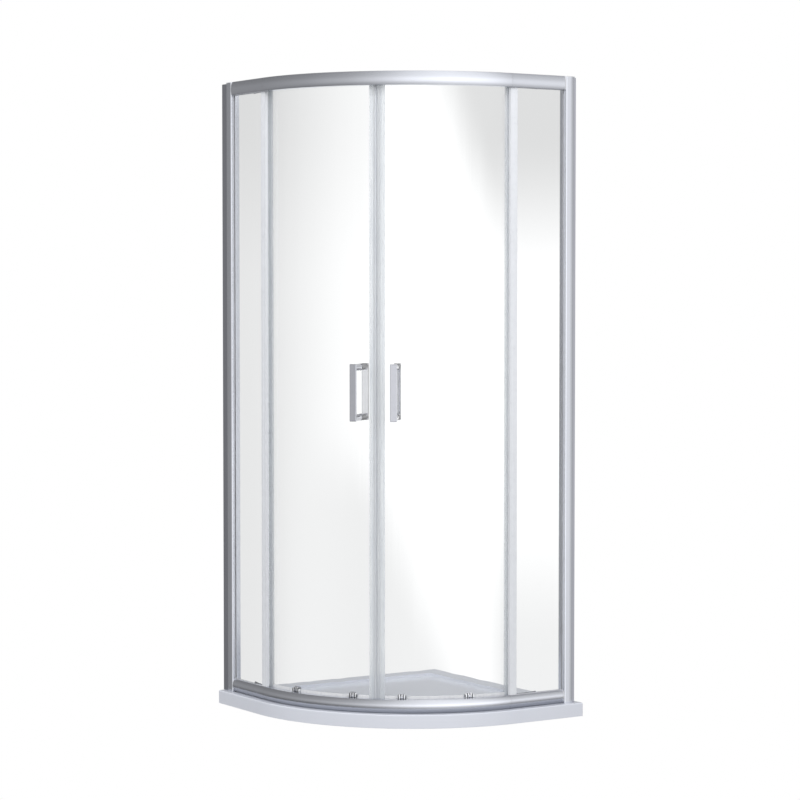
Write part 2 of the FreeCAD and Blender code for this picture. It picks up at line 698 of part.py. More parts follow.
def wall_channel(start):
    """U channel whose back lies at a distance from the wall, with slots for the lock screws."""
    low = TRAY_HEIGHT + CHANNEL_FOOT_GAP
    high = TOP - POST_CAP_THICK - CHANNEL_TOP_GAP
    inner = POST_INNER + POST_WALL + CHANNEL_CLEARANCE
    outer = POST_OUTER - POST_WALL - CHANNEL_CLEARANCE
    shape = side_box(start, start + CHANNEL_LEG, inner, outer, low, high)
    space = side_box(
        start + CHANNEL_WALL,
        start + CHANNEL_LEG + MARGIN,
        inner + CHANNEL_WALL,
        outer - CHANNEL_WALL,
        low,
        high,
    )
    cuts = [space]
    for height in WALL_HOLE_HEIGHTS:
        place = FreeCAD.Vector(BEND_X + (inner + outer) / 2, HALF - start + MARGIN, height)
        cuts.append(
            Part.makeCylinder(WALL_HOLE_RADIUS, CHANNEL_WALL + 2 * MARGIN, place, FreeCAD.Vector(0, -1, 0))
        )
    for height in LOCK_SCREW_HEIGHTS:
        cuts.append(
            side_box(
                start + LOCK_SCREW_FROM_WALL - CHANNEL_TRAVEL - LOCK_SLOT_HALF,
                start + LOCK_SCREW_FROM_WALL + LOCK_SLOT_HALF,
                inner - MARGIN,
                inner + CHANNEL_WALL + MARGIN,
                height - LOCK_SLOT_HALF,
                height + LOCK_SLOT_HALF,
            )
        )
    return shape.cut(cuts)


def fixed_glass_box():
    """The fixed pane's own space."""
    start = POST_END - GLASS
    foot = TRAY_HEIGHT + SEAT_TOP + GASKET_SEAT
    head = TOP - SEAT_TOP - GASKET_SEAT
    return side_box(start, FIXED_GLASS_END, FIXED_GLASS_INNER, FIXED_GLASS_OUTER, foot, head)


def glazing_gasket():
    """Gasket round the pane's edge in the post and in both rails."""
    foot = TRAY_HEIGHT + SEAT_TOP
    head = TOP - SEAT_TOP
    lip = GASKET_LIP
    strips = [
        side_box(SLOT_BACK, POST_END + lip, SLOT_INNER, SLOT_OUTER, foot, head),
        side_box(POST_END, FIXED_GLASS_END, SLOT_INNER, SLOT_OUTER, foot, RAIL_HEAD + lip),
        side_box(POST_END, FIXED_GLASS_END, SLOT_INNER, SLOT_OUTER, TOP - RAIL_HEIGHT - lip, head),
    ]
    return fused(strips).cut(fixed_glass_box())


def fixed_stile():
    """Profile on the free edge of the fixed pane, with a fin that meets the door's rear strip."""
    low = RAIL_HEAD + STILE_RAIL_GAP
    high = TOP - RAIL_HEIGHT - STILE_RAIL_GAP
    inner = FIXED_GLASS_INNER - STILE_WALL
    outer = FIXED_GLASS_OUTER + STILE_WALL
    body = side_box(STILE_START, STRAIGHT, inner, outer, low, high)
    step_start = STILE_START + STILE_STEP_FROM
    step = side_box(step_start, STRAIGHT + MARGIN, outer - STILE_STEP, outer + MARGIN, low, high)
    fin = side_box(FIN_START, FIN_START + FIN_THICK, FIN_INNER, inner + LAP, FIN_FOOT, high)
    lips = glazing_gasket()
    return fused([body.cut(step), fin]).cut([fixed_glass_box(), lips])


# --- doors ---


def roller_angles():
    """The two rollers' angles from the meeting line."""
    return (FRONT_ROLLER_ANGLE, REAR_ROLLER_ANGLE)


def door_glass():
    """Curved pane with holes for the handle and the rollers."""
    pane = ring_sector(
        DOOR_GLASS_INNER,
        DOOR_GLASS_OUTER,
        arc_angle(GLASS_FRONT_ARC),
        DOOR_REAR_ANGLE,
        DOOR_GLASS_FOOT,
        DOOR_GLASS_HEAD,
    )
    holes = [
        placed(peg(GLASS_HOLE_RADIUS, DOOR_GLASS_INNER - MARGIN, DOOR_GLASS_OUTER + MARGIN, height), angle)
        for angle, height in bush_places()
    ]
    return pane.cut(holes)


def handle_heights():
    """The heights of a handle's two posts."""
    reach = (HANDLE_LENGTH - HANDLE_WIDTH) / 2
    return (HANDLE_HEIGHT - reach, HANDLE_HEIGHT + reach)


def bush_places():
    """Every hole in the door's glass: handle studs, top axles and bottom screws."""
    places = [(HANDLE_ANGLE, height) for height in handle_heights()]
    for angle in roller_angles():
        places.append((angle, TOP_WHEEL_HEIGHT))
        places.append((angle, SCREW_HEIGHT))
    return places


def glass_bush(bore, angle, height):
    """Clear flanged bush that keeps metal off the glass."""
    sleeve = GLASS_HOLE_RADIUS - BUSH_CLEARANCE
    inner = DOOR_GLASS_INNER - CURVE_ALLOWANCE
    profile = [
        (inner - BUSH_FLANGE, bore),
        (inner - BUSH_FLANGE, BUSH_FLANGE_RADIUS),
        (inner, BUSH_FLANGE_RADIUS),
        (inner, sleeve),
        (DOOR_GLASS_OUTER, sleeve),
        (DOOR_GLASS_OUTER, BUSH_FLANGE_RADIUS),
        (DOOR_GLASS_OUTER + BUSH_FLANGE, BUSH_FLANGE_RADIUS),
        (DOOR_GLASS_OUTER + BUSH_FLANGE, bore),
    ]
    return placed(turned(profile, height), angle)


def glass_bushes():
    """The bushes of one door."""
    bores = [HANDLE_STUD_RADIUS] * 2 + [THREAD_RADIUS] * 4
    return [glass_bush(bore, *place) for bore, place in zip(bores, bush_places())]


def magnet_strip():
    """Clear strip on the door's front edge: a grip on the glass and a hollow nose for the magnet."""
    ends = (STRIP_FOOT, STRIP_HEAD)
    start = arc_angle(MEETING_GAP)
    nose_end = arc_angle(MAGNET_NOSE)
    grip_end = arc_angle(MAGNET_STRIP_WIDTH)
    parts = [
        ring_sector(
            DOOR_GLASS_INNER - MAGNET_NOSE_PROUD,
            DOOR_GLASS_OUTER + MAGNET_NOSE_PROUD,
            start,
            nose_end,
            *ends,
        ),
        ring_sector(DOOR_GLASS_INNER - STRIP_LEG, DOOR_GLASS_INNER, nose_end, grip_end, *ends),
        ring_sector(DOOR_GLASS_OUTER, DOOR_GLASS_OUTER + STRIP_LEG, nose_end, grip_end, *ends),
    ]
    return fused(parts).cut(magnet())


def magnet():
    """Magnetic bar in the nose of the strip."""
    return ring_sector(
        DOOR_GLASS_INNER + MAGNET_INSET,
        DOOR_GLASS_OUTER - MAGNET_INSET,
        arc_angle(MAGNET_START),
        arc_angle(MAGNET_END),
        STRIP_FOOT,
        STRIP_HEAD,
    )


def rear_strip():
    """Strip on the door's rear edge, with a leg that meets the fixed stile's fin."""
    ends = (STRIP_FOOT, STRIP_HEAD)
    wall = REAR_STRIP_WALL
    grip_start = DOOR_REAR_ANGLE - REAR_STRIP_ANGLE
    web_end = DOOR_REAR_ANGLE + REAR_WEB_ANGLE
    parts = [
        ring_sector(DOOR_GLASS_INNER - wall, DOOR_GLASS_INNER, grip_start, DOOR_REAR_ANGLE, *ends),
        ring_sector(DOOR_GLASS_OUTER, DOOR_GLASS_OUTER + wall, grip_start, DOOR_REAR_ANGLE, *ends),
        ring_sector(DOOR_GLASS_INNER - wall, DOOR_GLASS_OUTER + wall, DOOR_REAR_ANGLE, web_end, *ends),
        ring_sector(
            DOOR_GLASS_OUTER,
            REAR_LEG_OUTER,
            DOOR_REAR_ANGLE,
            web_end,
            RAIL_HEAD + REAR_LEG_GAP,
            TOP - RAIL_HEIGHT - REAR_LEG_GAP,
        ),
    ]
    return fused(parts)


def bottom_seal():
    """Pale seal on the glass's lower edge, notched round the bottom rollers."""
    start = arc_angle(MAGNET_STRIP_WIDTH + BOTTOM_SEAL_GAP)
    end = DOOR_REAR_ANGLE - REAR_STRIP_ANGLE - arc_angle(BOTTOM_SEAL_GAP)
    under = DOOR_GLASS_FOOT - BOTTOM_SEAL_FLOOR
    inner = DOOR_GLASS_INNER - BOTTOM_SEAL_LEG
    outer = DOOR_GLASS_OUTER + BOTTOM_SEAL_LEG
    fin = BOTTOM_SEAL_FIN_THICK / 2
    fin_foot = under - BOTTOM_SEAL_FIN
    parts = [
        ring_sector(inner, DOOR_GLASS_INNER, start, end, under, BOTTOM_SEAL_HEAD),
        ring_sector(DOOR_GLASS_OUTER, outer, start, end, under, BOTTOM_SEAL_HEAD),
        ring_sector(inner, outer, start, end, under, DOOR_GLASS_FOOT),
        ring_sector(DOOR_GLASS_MIDDLE - fin, DOOR_GLASS_MIDDLE + fin, start, end, fin_foot, under),
    ]
    notch = arc_angle(BOTTOM_SEAL_NOTCH)
    notches = [
        ring_sector(
            inner - MARGIN,
            outer + MARGIN,
            angle - notch,
            angle + notch,
            SLIDER_FOOT - RELEASE_TRAVEL - MARGIN,
            BOTTOM_SEAL_HEAD + MARGIN,
        )
        for angle in roller_angles()
    ]
    return fused(parts).cut(notches)


def handle(base, direction):
    """D handle: a flat bar on two round posts, outside or inside the glass."""
    half = HANDLE_WIDTH / 2
    low = HANDLE_HEIGHT - HANDLE_LENGTH / 2
    tip = base + direction * HANDLE_STAND_OFF
    root = tip + direction * HANDLE_ROUND
    stud_end = base + direction * HANDLE_STUD_DEPTH
    bar_sides = sorted((tip, tip + direction * HANDLE_BAR))
    bar = local_box(*bar_sides, -half, half, low, low + HANDLE_LENGTH)
    bar = bar.makeFillet(HANDLE_ROUND, bar.Edges)
    posts = [peg(half, *sorted((base, root)), height) for height in handle_heights()]
    bores = [peg(HANDLE_STUD_RADIUS, *sorted((base, stud_end)), height) for height in handle_heights()]
    return placed(fused([bar] + posts).cut(bores), HANDLE_ANGLE)


def handle_studs():
    """Studs that join the outer and inner handles through the glass."""
    inner = CAP_NUT_SEAT - HANDLE_STUD_DEPTH
    outer = HANDLE_BASE + HANDLE_STUD_DEPTH
    return [
        placed(peg(HANDLE_STUD_RADIUS, inner, outer, height), HANDLE_ANGLE) for height in handle_heights()
    ]


# --- rollers ---


def wheel(angle, height):
    """Grooved wheel that rides on the rib."""
    bore = AXLE_RADIUS + WHEEL_BORE_CLEARANCE
    root = WHEEL_GROOVE / 2
    rim = root + WHEEL_GROOVE_FLARE
    profile = [
        (WHEEL_INNER, bore),
        (WHEEL_INNER, WHEEL_RADIUS),
        (TRACK_RADIUS - rim, WHEEL_RADIUS),
        (TRACK_RADIUS - root, WHEEL_ROOT),
        (TRACK_RADIUS + root, WHEEL_ROOT),
        (TRACK_RADIUS + rim, WHEEL_RADIUS),
        (WHEEL_OUTER, WHEEL_RADIUS),
        (WHEEL_OUTER, bore),
    ]
    return placed(turned(profile, height), angle)


def top_axle(angle):
    """Shoulder bolt that carries a top wheel on the door's glass."""
    head = WHEEL_OUTER + WHEEL_SIDE_GAP
    collar = DOOR_GLASS_OUTER + BUSH_FLANGE
    profile = [
        (THREAD_END, 0),
        (THREAD_END, THREAD_RADIUS),
        (collar, THREAD_RADIUS),
        (collar, AXLE_COLLAR_RADIUS),
        (WHEEL_INNER - WHEEL_SIDE_GAP, AXLE_COLLAR_RADIUS),
        (WHEEL_INNER - WHEEL_SIDE_GAP, AXLE_RADIUS),
        (head, AXLE_RADIUS),
        (head, AXLE_HEAD_RADIUS),
        (head + AXLE_HEAD_HEIGHT, AXLE_HEAD_RADIUS),
        (head + AXLE_HEAD_HEIGHT, 0),
    ]
    return placed(turned(profile, TOP_WHEEL_HEIGHT), angle)


def cap_nut(angle, height):
    """Domed cap nut on the inner face of the glass."""
    face = CAP_NUT_SEAT - CAP_NUT_HEIGHT
    profile = [
        (CAP_NUT_SEAT, THREAD_RADIUS),
        (CAP_NUT_SEAT, CAP_NUT_RADIUS),
        (face + CAP_NUT_DOME, CAP_NUT_RADIUS),
        (face, CAP_NUT_RADIUS - CAP_NUT_DOME),
        (face, 0),
        (THREAD_END, 0),
        (THREAD_END, THREAD_RADIUS),
    ]
    return placed(turned(profile, height), angle)


def roller_housing(angle):
    """Arched housing of a bottom roller, with a tongue behind the rail that guides the slider."""
    inner = HANDLE_BASE
    block = local_box(inner, HOUSING_OUTER, -HOUSING_HALF, HOUSING_HALF, HOUSING_FOOT, HOUSING_HEAD)
    shoulders = [
        edge
        for edge in block.Edges
        if edge.BoundBox.ZMin > HOUSING_HEAD - LAP and edge.BoundBox.XLength > LAP
    ]
    block = block.makeFillet(HOUSING_ROUND, shoulders)
    front = [edge for edge in block.Edges if edge.BoundBox.XMin > HOUSING_OUTER - LAP]
    block = block.makeFillet(HOUSING_EDGE, front)
    tongue = local_box(inner, TONGUE_OUTER, -TONGUE_HALF, TONGUE_HALF, TONGUE_FOOT, HOUSING_FOOT + MARGIN)
    face = SLIDER_OUTER + SLIDER_CLEARANCE
    side = SLIDER_HALF + SLIDER_CLEARANCE
    pocket = local_box(inner - MARGIN, face, -side, side, TONGUE_FOOT - MARGIN, HOUSING_HEAD + MARGIN)
    recess_half = SPRING_RADIUS + SPRING_WIRE + SPRING_SIDE_GAP
    recess_head = PEG_HEAD + SPRING_LENGTH + SLIDER_CLEARANCE
    recess = local_box(face - LAP, face + SPRING_RECESS, -recess_half, recess_half, PEG_HEAD, recess_head)
    ledge = local_box(inner, face + LAP, -PEG_HALF, PEG_HALF, TONGUE_FOOT, PEG_HEAD)
    sleeve = peg(SCREW_SLEEVE_RADIUS, inner, face + LAP, SCREW_HEIGHT)
    bore = peg(THREAD_RADIUS, inner - MARGIN, HOUSING_OUTER + MARGIN, SCREW_HEIGHT)
    shell = fused([block, tongue]).cut([pocket, recess])
    return placed(fused([shell, ledge, sleeve]).cut(bore), angle)


def slider(angle):
    """Sprung slider that carries a bottom wheel; its head is the release button."""
    plate = local_box(SLIDER_INNER, SLIDER_OUTER, -SLIDER_HALF, SLIDER_HALF, SLIDER_FOOT, SLIDER_HEAD)
    gap = SLIDER_CLEARANCE
    window_half = SCREW_SLEEVE_RADIUS + gap
    screw_window = local_box(
        SLIDER_INNER - MARGIN,
        SLIDER_OUTER + MARGIN,
        -window_half,
        window_half,
        SCREW_HEIGHT - SCREW_SLEEVE_RADIUS - gap,
        SLIDER_HEAD - SLIDER_BAR,
    )
    spring_window = local_box(
        SLIDER_INNER - MARGIN,
        SLIDER_OUTER + MARGIN,
        -SPRING_WINDOW_HALF,
        SPRING_WINDOW_HALF,
        TONGUE_FOOT - gap,
        PEG_HEAD + SPRING_LENGTH,
    )
    head = WHEEL_OUTER + WHEEL_SIDE_GAP
    pin_profile = [
        (SLIDER_OUTER - LAP, 0),
        (SLIDER_OUTER - LAP, AXLE_COLLAR_RADIUS),
        (WHEEL_INNER - WHEEL_SIDE_GAP, AXLE_COLLAR_RADIUS),
        (WHEEL_INNER - WHEEL_SIDE_GAP, AXLE_RADIUS),
        (head, AXLE_RADIUS),
        (head, AXLE_HEAD_RADIUS),
        (head + AXLE_HEAD_HEIGHT, AXLE_HEAD_RADIUS),
        (head + AXLE_HEAD_HEIGHT, 0),
    ]
    pin = turned(pin_profile, BOTTOM_WHEEL_HEIGHT)
    return placed(fused([plate.cut([screw_window, spring_window]), pin]), angle)


def tangent_arc(start, tangent, end):
    """The arc that leaves a point along a direction and reaches another point."""
    chord = end - start
    along = FreeCAD.Vector(chord).normalize()
    side = tangent - along * tangent.dot(along)
    rise = chord.Length / 2 * math.tan(tangent.getAngle(along) / 2)
    return Part.Arc(start, start + chord / 2 + side.normalize() * rise, end).toShape()


def coil_path(radius, rise, turns, steps=4):
    """A helix as pairs of arcs that join smoothly, a quarter turn to each pair."""
    edges = []
    count = turns * steps
    slope = rise / turns / (2 * math.pi)

    def place(step):
        turn = 2 * math.pi * step / steps
        flat = FreeCAD.Vector(math.cos(turn), math.sin(turn), 0) * radius
        heading = FreeCAD.Vector(-flat.y, flat.x, slope).normalize()
        return flat + UP * (rise * step / count), heading

    for step in range(count):
        start, leaving = place(step)
        end, arriving = place(step + 1)
        span = end - start
        bend = leaving.dot(arriving) - 1
        both = span.dot(leaving + arriving)
        reach = (both - math.sqrt(both**2 - 2 * bend * span.dot(span))) / (2 * bend)
        middle = (start + leaving * reach + end - arriving * reach) / 2
        edges.append(tangent_arc(start, leaving, middle))
        edges.append(tangent_arc(end, arriving * -1, middle))
    return Part.Wire(Part.__sortEdges__(edges))


def release_spring(angle):
    """Compression spring between the housing's ledge and the slider."""
    foot = PEG_HEAD + SPRING_WIRE
    rise = SPRING_LENGTH - 2 * SPRING_WIRE
    path = coil_path(SPRING_RADIUS, rise, SPRING_TURNS)
    section = Part.makeCircle(SPRING_WIRE, FreeCAD.Vector(SPRING_RADIUS, 0, 0), FreeCAD.Vector(0, 1, 0))
    coil = path.makePipeShell([Part.Wire(section)], True, False)
    middle = SLIDER_INNER + SPRING_WIRE + SPRING_RADIUS - CURVE_ALLOWANCE
    coil.translate(FreeCAD.Vector(middle, 0, foot))
    return placed(coil, angle)


def fixing_screw(angle):
    """Round-headed screw that holds a housing on the glass."""
    profile = [
        (THREAD_END, 0),
        (THREAD_END, THREAD_RADIUS),
        (HOUSING_OUTER, THREAD_RADIUS),
        (HOUSING_OUTER, SCREW_HEAD_RADIUS),
        (HOUSING_OUTER + SCREW_HEAD_HEIGHT / 2, SCREW_HEAD_RADIUS),
        (HOUSING_OUTER + SCREW_HEAD_HEIGHT, SCREW_HEAD_RADIUS / 2),
        (HOUSING_OUTER + SCREW_HEAD_HEIGHT, 0),
    ]
    return placed(turned(profile, SCREW_HEIGHT), angle)


# --- the whole enclosure ---


def door_nodes():
    """The right-hand door's nodes, each a list of solids."""
    angles = roller_angles()
    nut_places = [(angle, height) for angle in angles for height in (TOP_WHEEL_HEIGHT, SCREW_HEIGHT)]
    nodes = {
        "door_glass": [door_glass()],
        "magnet_strip": [magnet_strip()],
        "magnet": [magnet()],
        "rear_strip": [rear_strip()],
        "bottom_seal": [bottom_seal()],
        "outer_handle": [handle(HANDLE_BASE, 1)],
        "inner_handle": [handle(CAP_NUT_SEAT, -1)],
        "handle_studs": handle_studs(),
        "glass_bushes": glass_bushes(),
        "top_axles": [top_axle(angle) for angle in angles],
        "cap_nuts": [cap_nut(*place) for place in nut_places],
        "roller_housings": [roller_housing(angle) for angle in angles],
        "housing_screws": [fixing_screw(angle) for angle in angles],
    }
    for place, angle in zip(("front", "rear"), angles):
        nodes[f"{place}_top_wheel"] = [wheel(angle, TOP_WHEEL_HEIGHT)]
        nodes[f"{place}_bottom_wheel"] = [wheel(angle, BOTTOM_WHEEL_HEIGHT)]
        nodes[f"{place}_slider"] = [slider(angle)]
        nodes[f"{place}_spring"] = [release_spring(angle)]
    return nodes


def frame_nodes():
    """The tray's and the frame's nodes, each a list of solids."""
    rails = {False: BOTTOM_RAIL_FACE, True: TOP_RAIL_FACE}
    ends = (False, True)
    caps = [rail_end_cap(*rails[top], top) for top in ends]
    screws = [rail_screw(level, top) for top in ends for level in SCREW_PORT_LEVELS]
    locks = [piece for height in LOCK_SCREW_HEIGHTS for piece in lock_screw(height)]
    stops = [door_stop(top) for top in ends]
    gasket = glazing_gasket()
    cap = post_cap()
    frame_post = post()
    pane = fixed_glass_box()
    stile = fixed_stile()
    return {
        "shower_tray": [shower_tray()],
        "waste_cover": [waste_cover()],
        "bottom_rail": [rail(*rails[False], False)],
        "top_rail": [rail(*rails[True], True)],
        "rail_end_caps": caps + [mirrored(piece) for piece in caps],
        "rail_screws": screws + [mirrored(piece) for piece in screws],
        "door_stops": stops + [mirrored(piece) for piece in stops],
        "right_post": [frame_post],
        "left_post": [mirrored(frame_post)],
        "post_caps": [cap, mirrored(cap)],
        "lock_screws": locks + [mirrored(piece) for piece in locks],
        "right_fixed_glass": [pane],
        "left_fixed_glass": [mirrored(pane)],
        "glazing_gaskets": [gasket, mirrored(gasket)],
        "right_fixed_stile": [stile],
        "left_fixed_stile": [mirrored(stile)],
        "right_wall_channel": [wall_channel(CHANNEL_TRAVEL)],
        "left_wall_channel": [mirrored(wall_channel(0))],
    }


def main():
    """Writes one file per node."""
    nodes = frame_nodes()
    for name, solids in door_nodes().items():
        nodes[f"right_{name}"] = solids
        nodes[f"left_{name}"] = [mirrored(piece) for piece in solids]
    os.makedirs("parts", exist_ok=True)
    for name, solids in nodes.items():
        pieces = [solid for shape in solids for solid in shape.Solids]
        shape = pieces[0] if len(pieces) == 1 else Part.makeCompound(pieces)
        shape.exportStep(f"parts/{name}.step")
        state = "ok" if shape.isValid() and len(pieces) == len(solids) else "BAD"
        print(f"{name}: {len(pieces)} solids, {shape.Volume / 1000:.2f} cm3, {state}")


main()
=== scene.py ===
"""Looks of the quadrant shower enclosure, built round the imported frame, in metres."""
import json
import logging
import math
from collections.abc import Callable
from dataclasses import dataclass
from enum import Enum

import bmesh
import bpy
from mathutils import Matrix, Vector


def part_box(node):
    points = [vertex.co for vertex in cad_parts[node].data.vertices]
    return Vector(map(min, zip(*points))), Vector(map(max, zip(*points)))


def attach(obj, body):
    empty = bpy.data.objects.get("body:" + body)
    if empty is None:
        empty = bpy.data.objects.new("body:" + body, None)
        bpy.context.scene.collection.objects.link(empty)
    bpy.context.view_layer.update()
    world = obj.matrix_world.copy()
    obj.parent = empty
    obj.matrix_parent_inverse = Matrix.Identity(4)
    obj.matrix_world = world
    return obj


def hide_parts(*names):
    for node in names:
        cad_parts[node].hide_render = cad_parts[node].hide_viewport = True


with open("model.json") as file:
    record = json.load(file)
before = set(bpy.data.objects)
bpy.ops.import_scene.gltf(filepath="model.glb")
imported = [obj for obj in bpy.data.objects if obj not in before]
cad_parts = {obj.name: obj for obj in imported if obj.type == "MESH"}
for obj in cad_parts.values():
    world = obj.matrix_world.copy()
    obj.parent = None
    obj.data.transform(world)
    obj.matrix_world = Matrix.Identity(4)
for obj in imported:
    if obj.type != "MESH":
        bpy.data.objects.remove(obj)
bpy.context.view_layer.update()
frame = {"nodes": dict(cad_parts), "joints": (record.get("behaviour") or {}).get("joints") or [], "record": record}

LOG = logging.getLogger("enclosure")
Number = float | int
Outline = list[tuple[float, float]]
Colour = tuple[float, float, float, float]
Triple = tuple[float, float, float]

HALF_BEND = 45.0  # degrees from the doors' meeting line to each end of the bend
NOISE_MEAN = 0.5  # what plain noise varies about


# --- the frame's own measures ---


@dataclass(frozen=True)
class Bend:
    """The upright axis that the curved front is drawn about."""

    x: float
    y: float

    def point(self, radius: float, angle: float) -> Vector:
        """A point at height 0.

        Args:
            radius: how far from the axis it is.
            angle: its degrees from the doors' meeting line.

        Returns:
            The point.
        """
        turn = math.radians(angle - HALF_BEND)
        outward = Vector((math.cos(turn), math.sin(turn), 0))
        return Vector((self.x, self.y, 0)) + outward * radius

    def away(self, place: Vector) -> Vector:
        """The level direction from the axis to a place."""
        return Vector((place.x - self.x, place.y - self.y, 0)).normalized()


def bend_axis() -> Bend:
    """Reads the bend's axis from the joint that a door turns about."""
    joint = next(j for j in frame["joints"] if j["name"] == "right_door_slide")
    return Bend(joint["pos_m"][0], joint["pos_m"][1])


BEND = bend_axis()
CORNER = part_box("shower_tray")[1].y
STRAIGHT = CORNER - BEND.y


class Side(Enum):
    """The two halves of the enclosure, as seen from the front."""

    RIGHT = "right"
    LEFT = "left"

    def node(self, name: str) -> str:
        """The full name of a node on this side."""
        return f"{self.value}_{name}"


class Place(Enum):
    """A door's two pairs of rollers."""

    FRONT = "front"
    REAR = "rear"


# --- shader and geometry maths ---


def maths(operation: str, reflected: bool = False) -> Callable[["Wire", "Wire | Number"], "Wire"]:
    """Makes a method of Wire that adds a Math node.

    Args:
        operation: the node's operation.
        reflected: whether the other value comes first, as in 1 - mask.

    Returns:
        The method.
    """

    def method(wire: "Wire", other: "Wire | Number") -> "Wire":
        """The operation on this and a value."""
        first, second = (other, wire) if reflected else (wire, other)
        return wire.shader.node("ShaderNodeMath", {"operation": operation}, {0: first, 1: second})

    return method


@dataclass
class Wire:
    """One output socket that takes part in Python sums; each sum adds a Math node."""

    shader: "Shader"
    socket: bpy.types.NodeSocket

    __add__ = maths("ADD")
    __radd__ = maths("ADD", reflected=True)
    __sub__ = maths("SUBTRACT")
    __rsub__ = maths("SUBTRACT", reflected=True)
    __mul__ = maths("MULTIPLY")
    __rmul__ = maths("MULTIPLY", reflected=True)
    __truediv__ = maths("DIVIDE")
    __pow__ = maths("POWER")
    at_least = maths("MAXIMUM")
    at_most = maths("MINIMUM")
    turn_from = maths("ARCTAN2")

    def clamped(self) -> "Wire":
        """This, kept from 0 to 1."""
        return self.at_least(0.0).at_most(1.0)

    def eased(self, start: float, end: float) -> "Wire":
        """A soft step from 0 to 1 between two values of this.

        Args:
            start: the value where it is 0.
            end: the value where it is 1.

        Returns:
            The step.
        """
        return self.shader.node(
            "ShaderNodeMapRange", {"interpolation_type": "SMOOTHSTEP"}, {0: self, 1: start, 2: end}
        )


class Shader:
    """A node tree that grows by whole nodes."""

    def __init__(self, tree: bpy.types.NodeTree) -> None:
        """Empties a tree.

        Args:
            tree: a material's, the world's or a geometry node tree.
        """
        self.tree = tree
        tree.nodes.clear()

    def node(
        self,
        kind: str,
        settings: dict | None = None,
        sockets: dict | None = None,
        output: int | str = 0,
    ) -> Wire:
        """Adds a node.

        Args:
            kind: the node's type.
            settings: its properties, set first; "stops" holds a ramp's (position, colour) pairs.
            sockets: values or links of its inputs, by name or number.
            output: the output that is handed back.

        Returns:
            The output as a Wire.
        """
        made = self.tree.nodes.new(kind)
        for name, value in (settings or {}).items():
            if name == "stops":
                self._set_stops(made.color_ramp, value)
            else:
                setattr(made, name, value)
        for name, value in (sockets or {}).items():
            socket = made.inputs[name]
            if isinstance(value, Wire):
                self.tree.links.new(value.socket, socket)
            else:
                socket.default_value = value
        return Wire(self, made.outputs[output])

    @staticmethod
    def _set_stops(ramp: bpy.types.ColorRamp, stops: list) -> None:
        """Gives a colour ramp its stops.

        Args:
            ramp: the ramp.
            stops: (position, colour) pairs, in order.
        """
        while len(ramp.elements) < len(stops):
            ramp.elements.new(1.0)
        for element, (position, colour) in zip(ramp.elements, stops):
            element.position = position
            element.color = colour

    def other(self, wire: Wire, output: str) -> Wire:
        """Another output of the node that a wire leaves."""
        return Wire(self, wire.socket.node.outputs[output])

    def place(self) -> Wire:
        """Object coordinates."""
        return self.node("ShaderNodeTexCoord", output="Object")

    def axes(self, vector: Wire) -> tuple[Wire, Wire, Wire]:
        """The three parts of a vector."""
        first = self.node("ShaderNodeSeparateXYZ", sockets={0: vector})
        return tuple(self.other(first, axis) for axis in "XYZ")

    def level(self, x: Wire, y: Wire) -> Wire:
        """A vector from two parts."""
        return self.node("ShaderNodeCombineXYZ", sockets={0: x, 1: y})

    def blend(self, factor: Wire, first: Colour | Wire, second: Colour | Wire) -> Wire:
        """A mix of two colours.

        Args:
            factor: the second colour's share.
            first: the first colour.
            second: the second colour.

        Returns:
            The colour.
        """
        sockets = {0: factor, 6: first, 7: second}
        return self.node("ShaderNodeMix", {"data_type": "RGBA"}, sockets, output=2)

    def greys(self, stops: Outline, top: float, at: Wire) -> Wire:
        """A value read from a ramp of greys.

        Args:
            stops: (position, value) pairs.
            top: the value that the ramp's white stands for.
            at: where the ramp is read.

        Returns:
            The value.
        """
        shades = [(position, rgb(*[value / top] * 3)) for position, value in stops]
        ramp = self.node("ShaderNodeValToRGB", {"stops": shades}, {0: at})
        return self.axes(ramp)[0] * top

    def principled(self, colour: Colour | Wire, roughness: Wire, more: dict) -> Wire:
        """A Principled surface.

        Args:
            colour: its base colour.
            roughness: its roughness.
            more: its other sockets by name.

        Returns:
            The surface.
        """
        sockets = {"Base Color": colour, "Roughness": roughness, **more}
        return self.node("ShaderNodeBsdfPrincipled", sockets=sockets)

    def bump(self, height: Wire, strength: float, depth: float) -> Wire:
        """A bumped normal; the depth is in metres."""
        sockets = {"Height": height, "Strength": strength, "Distance": depth}
        return self.node("ShaderNodeBump", sockets=sockets)

    def end(self, surface: Wire, kind: str = "ShaderNodeOutputMaterial") -> None:
        """Links the tree's result to its output node."""
        made = self.tree.nodes.new(kind)
        self.tree.links.new(surface.socket, made.inputs["Surface"])


def rgb(red: float, green: float, blue: float) -> Colour:
    """An opaque colour."""
    return (red, green, blue, 1.0)


@dataclass(frozen=True)
class Noise:
    """Plain noise from 0 to 1.

    Attributes:
        scale: how fine it is, per metre.
        detail: octaves.
        rough: how strong the fine octaves are.
        stretch: what each axis is scaled by first.
    """

    scale: float
    detail: float = 2.0
    rough: float = 0.5
    stretch: Triple | None = None

    def at(self, place: Wire) -> Wire:
        """The noise at a place.

        Args:
            place: the place.

        Returns:
            The noise.
        """
        shader = place.shader
        if self.stretch:
            sockets = {"Vector": place, "Scale": self.stretch}
            place = shader.node("ShaderNodeMapping", sockets=sockets)
        sockets = {"Scale": self.scale, "Detail": self.detail, "Roughness": self.rough}
        return shader.node("ShaderNodeTexNoise", sockets={"Vector": place, **sockets})


# --- finishes ---


class Grain(Enum):
    """Which way the fine lines of an extrusion run."""

    UPRIGHT = "upright"
    ALONG_RAIL = "along_rail"


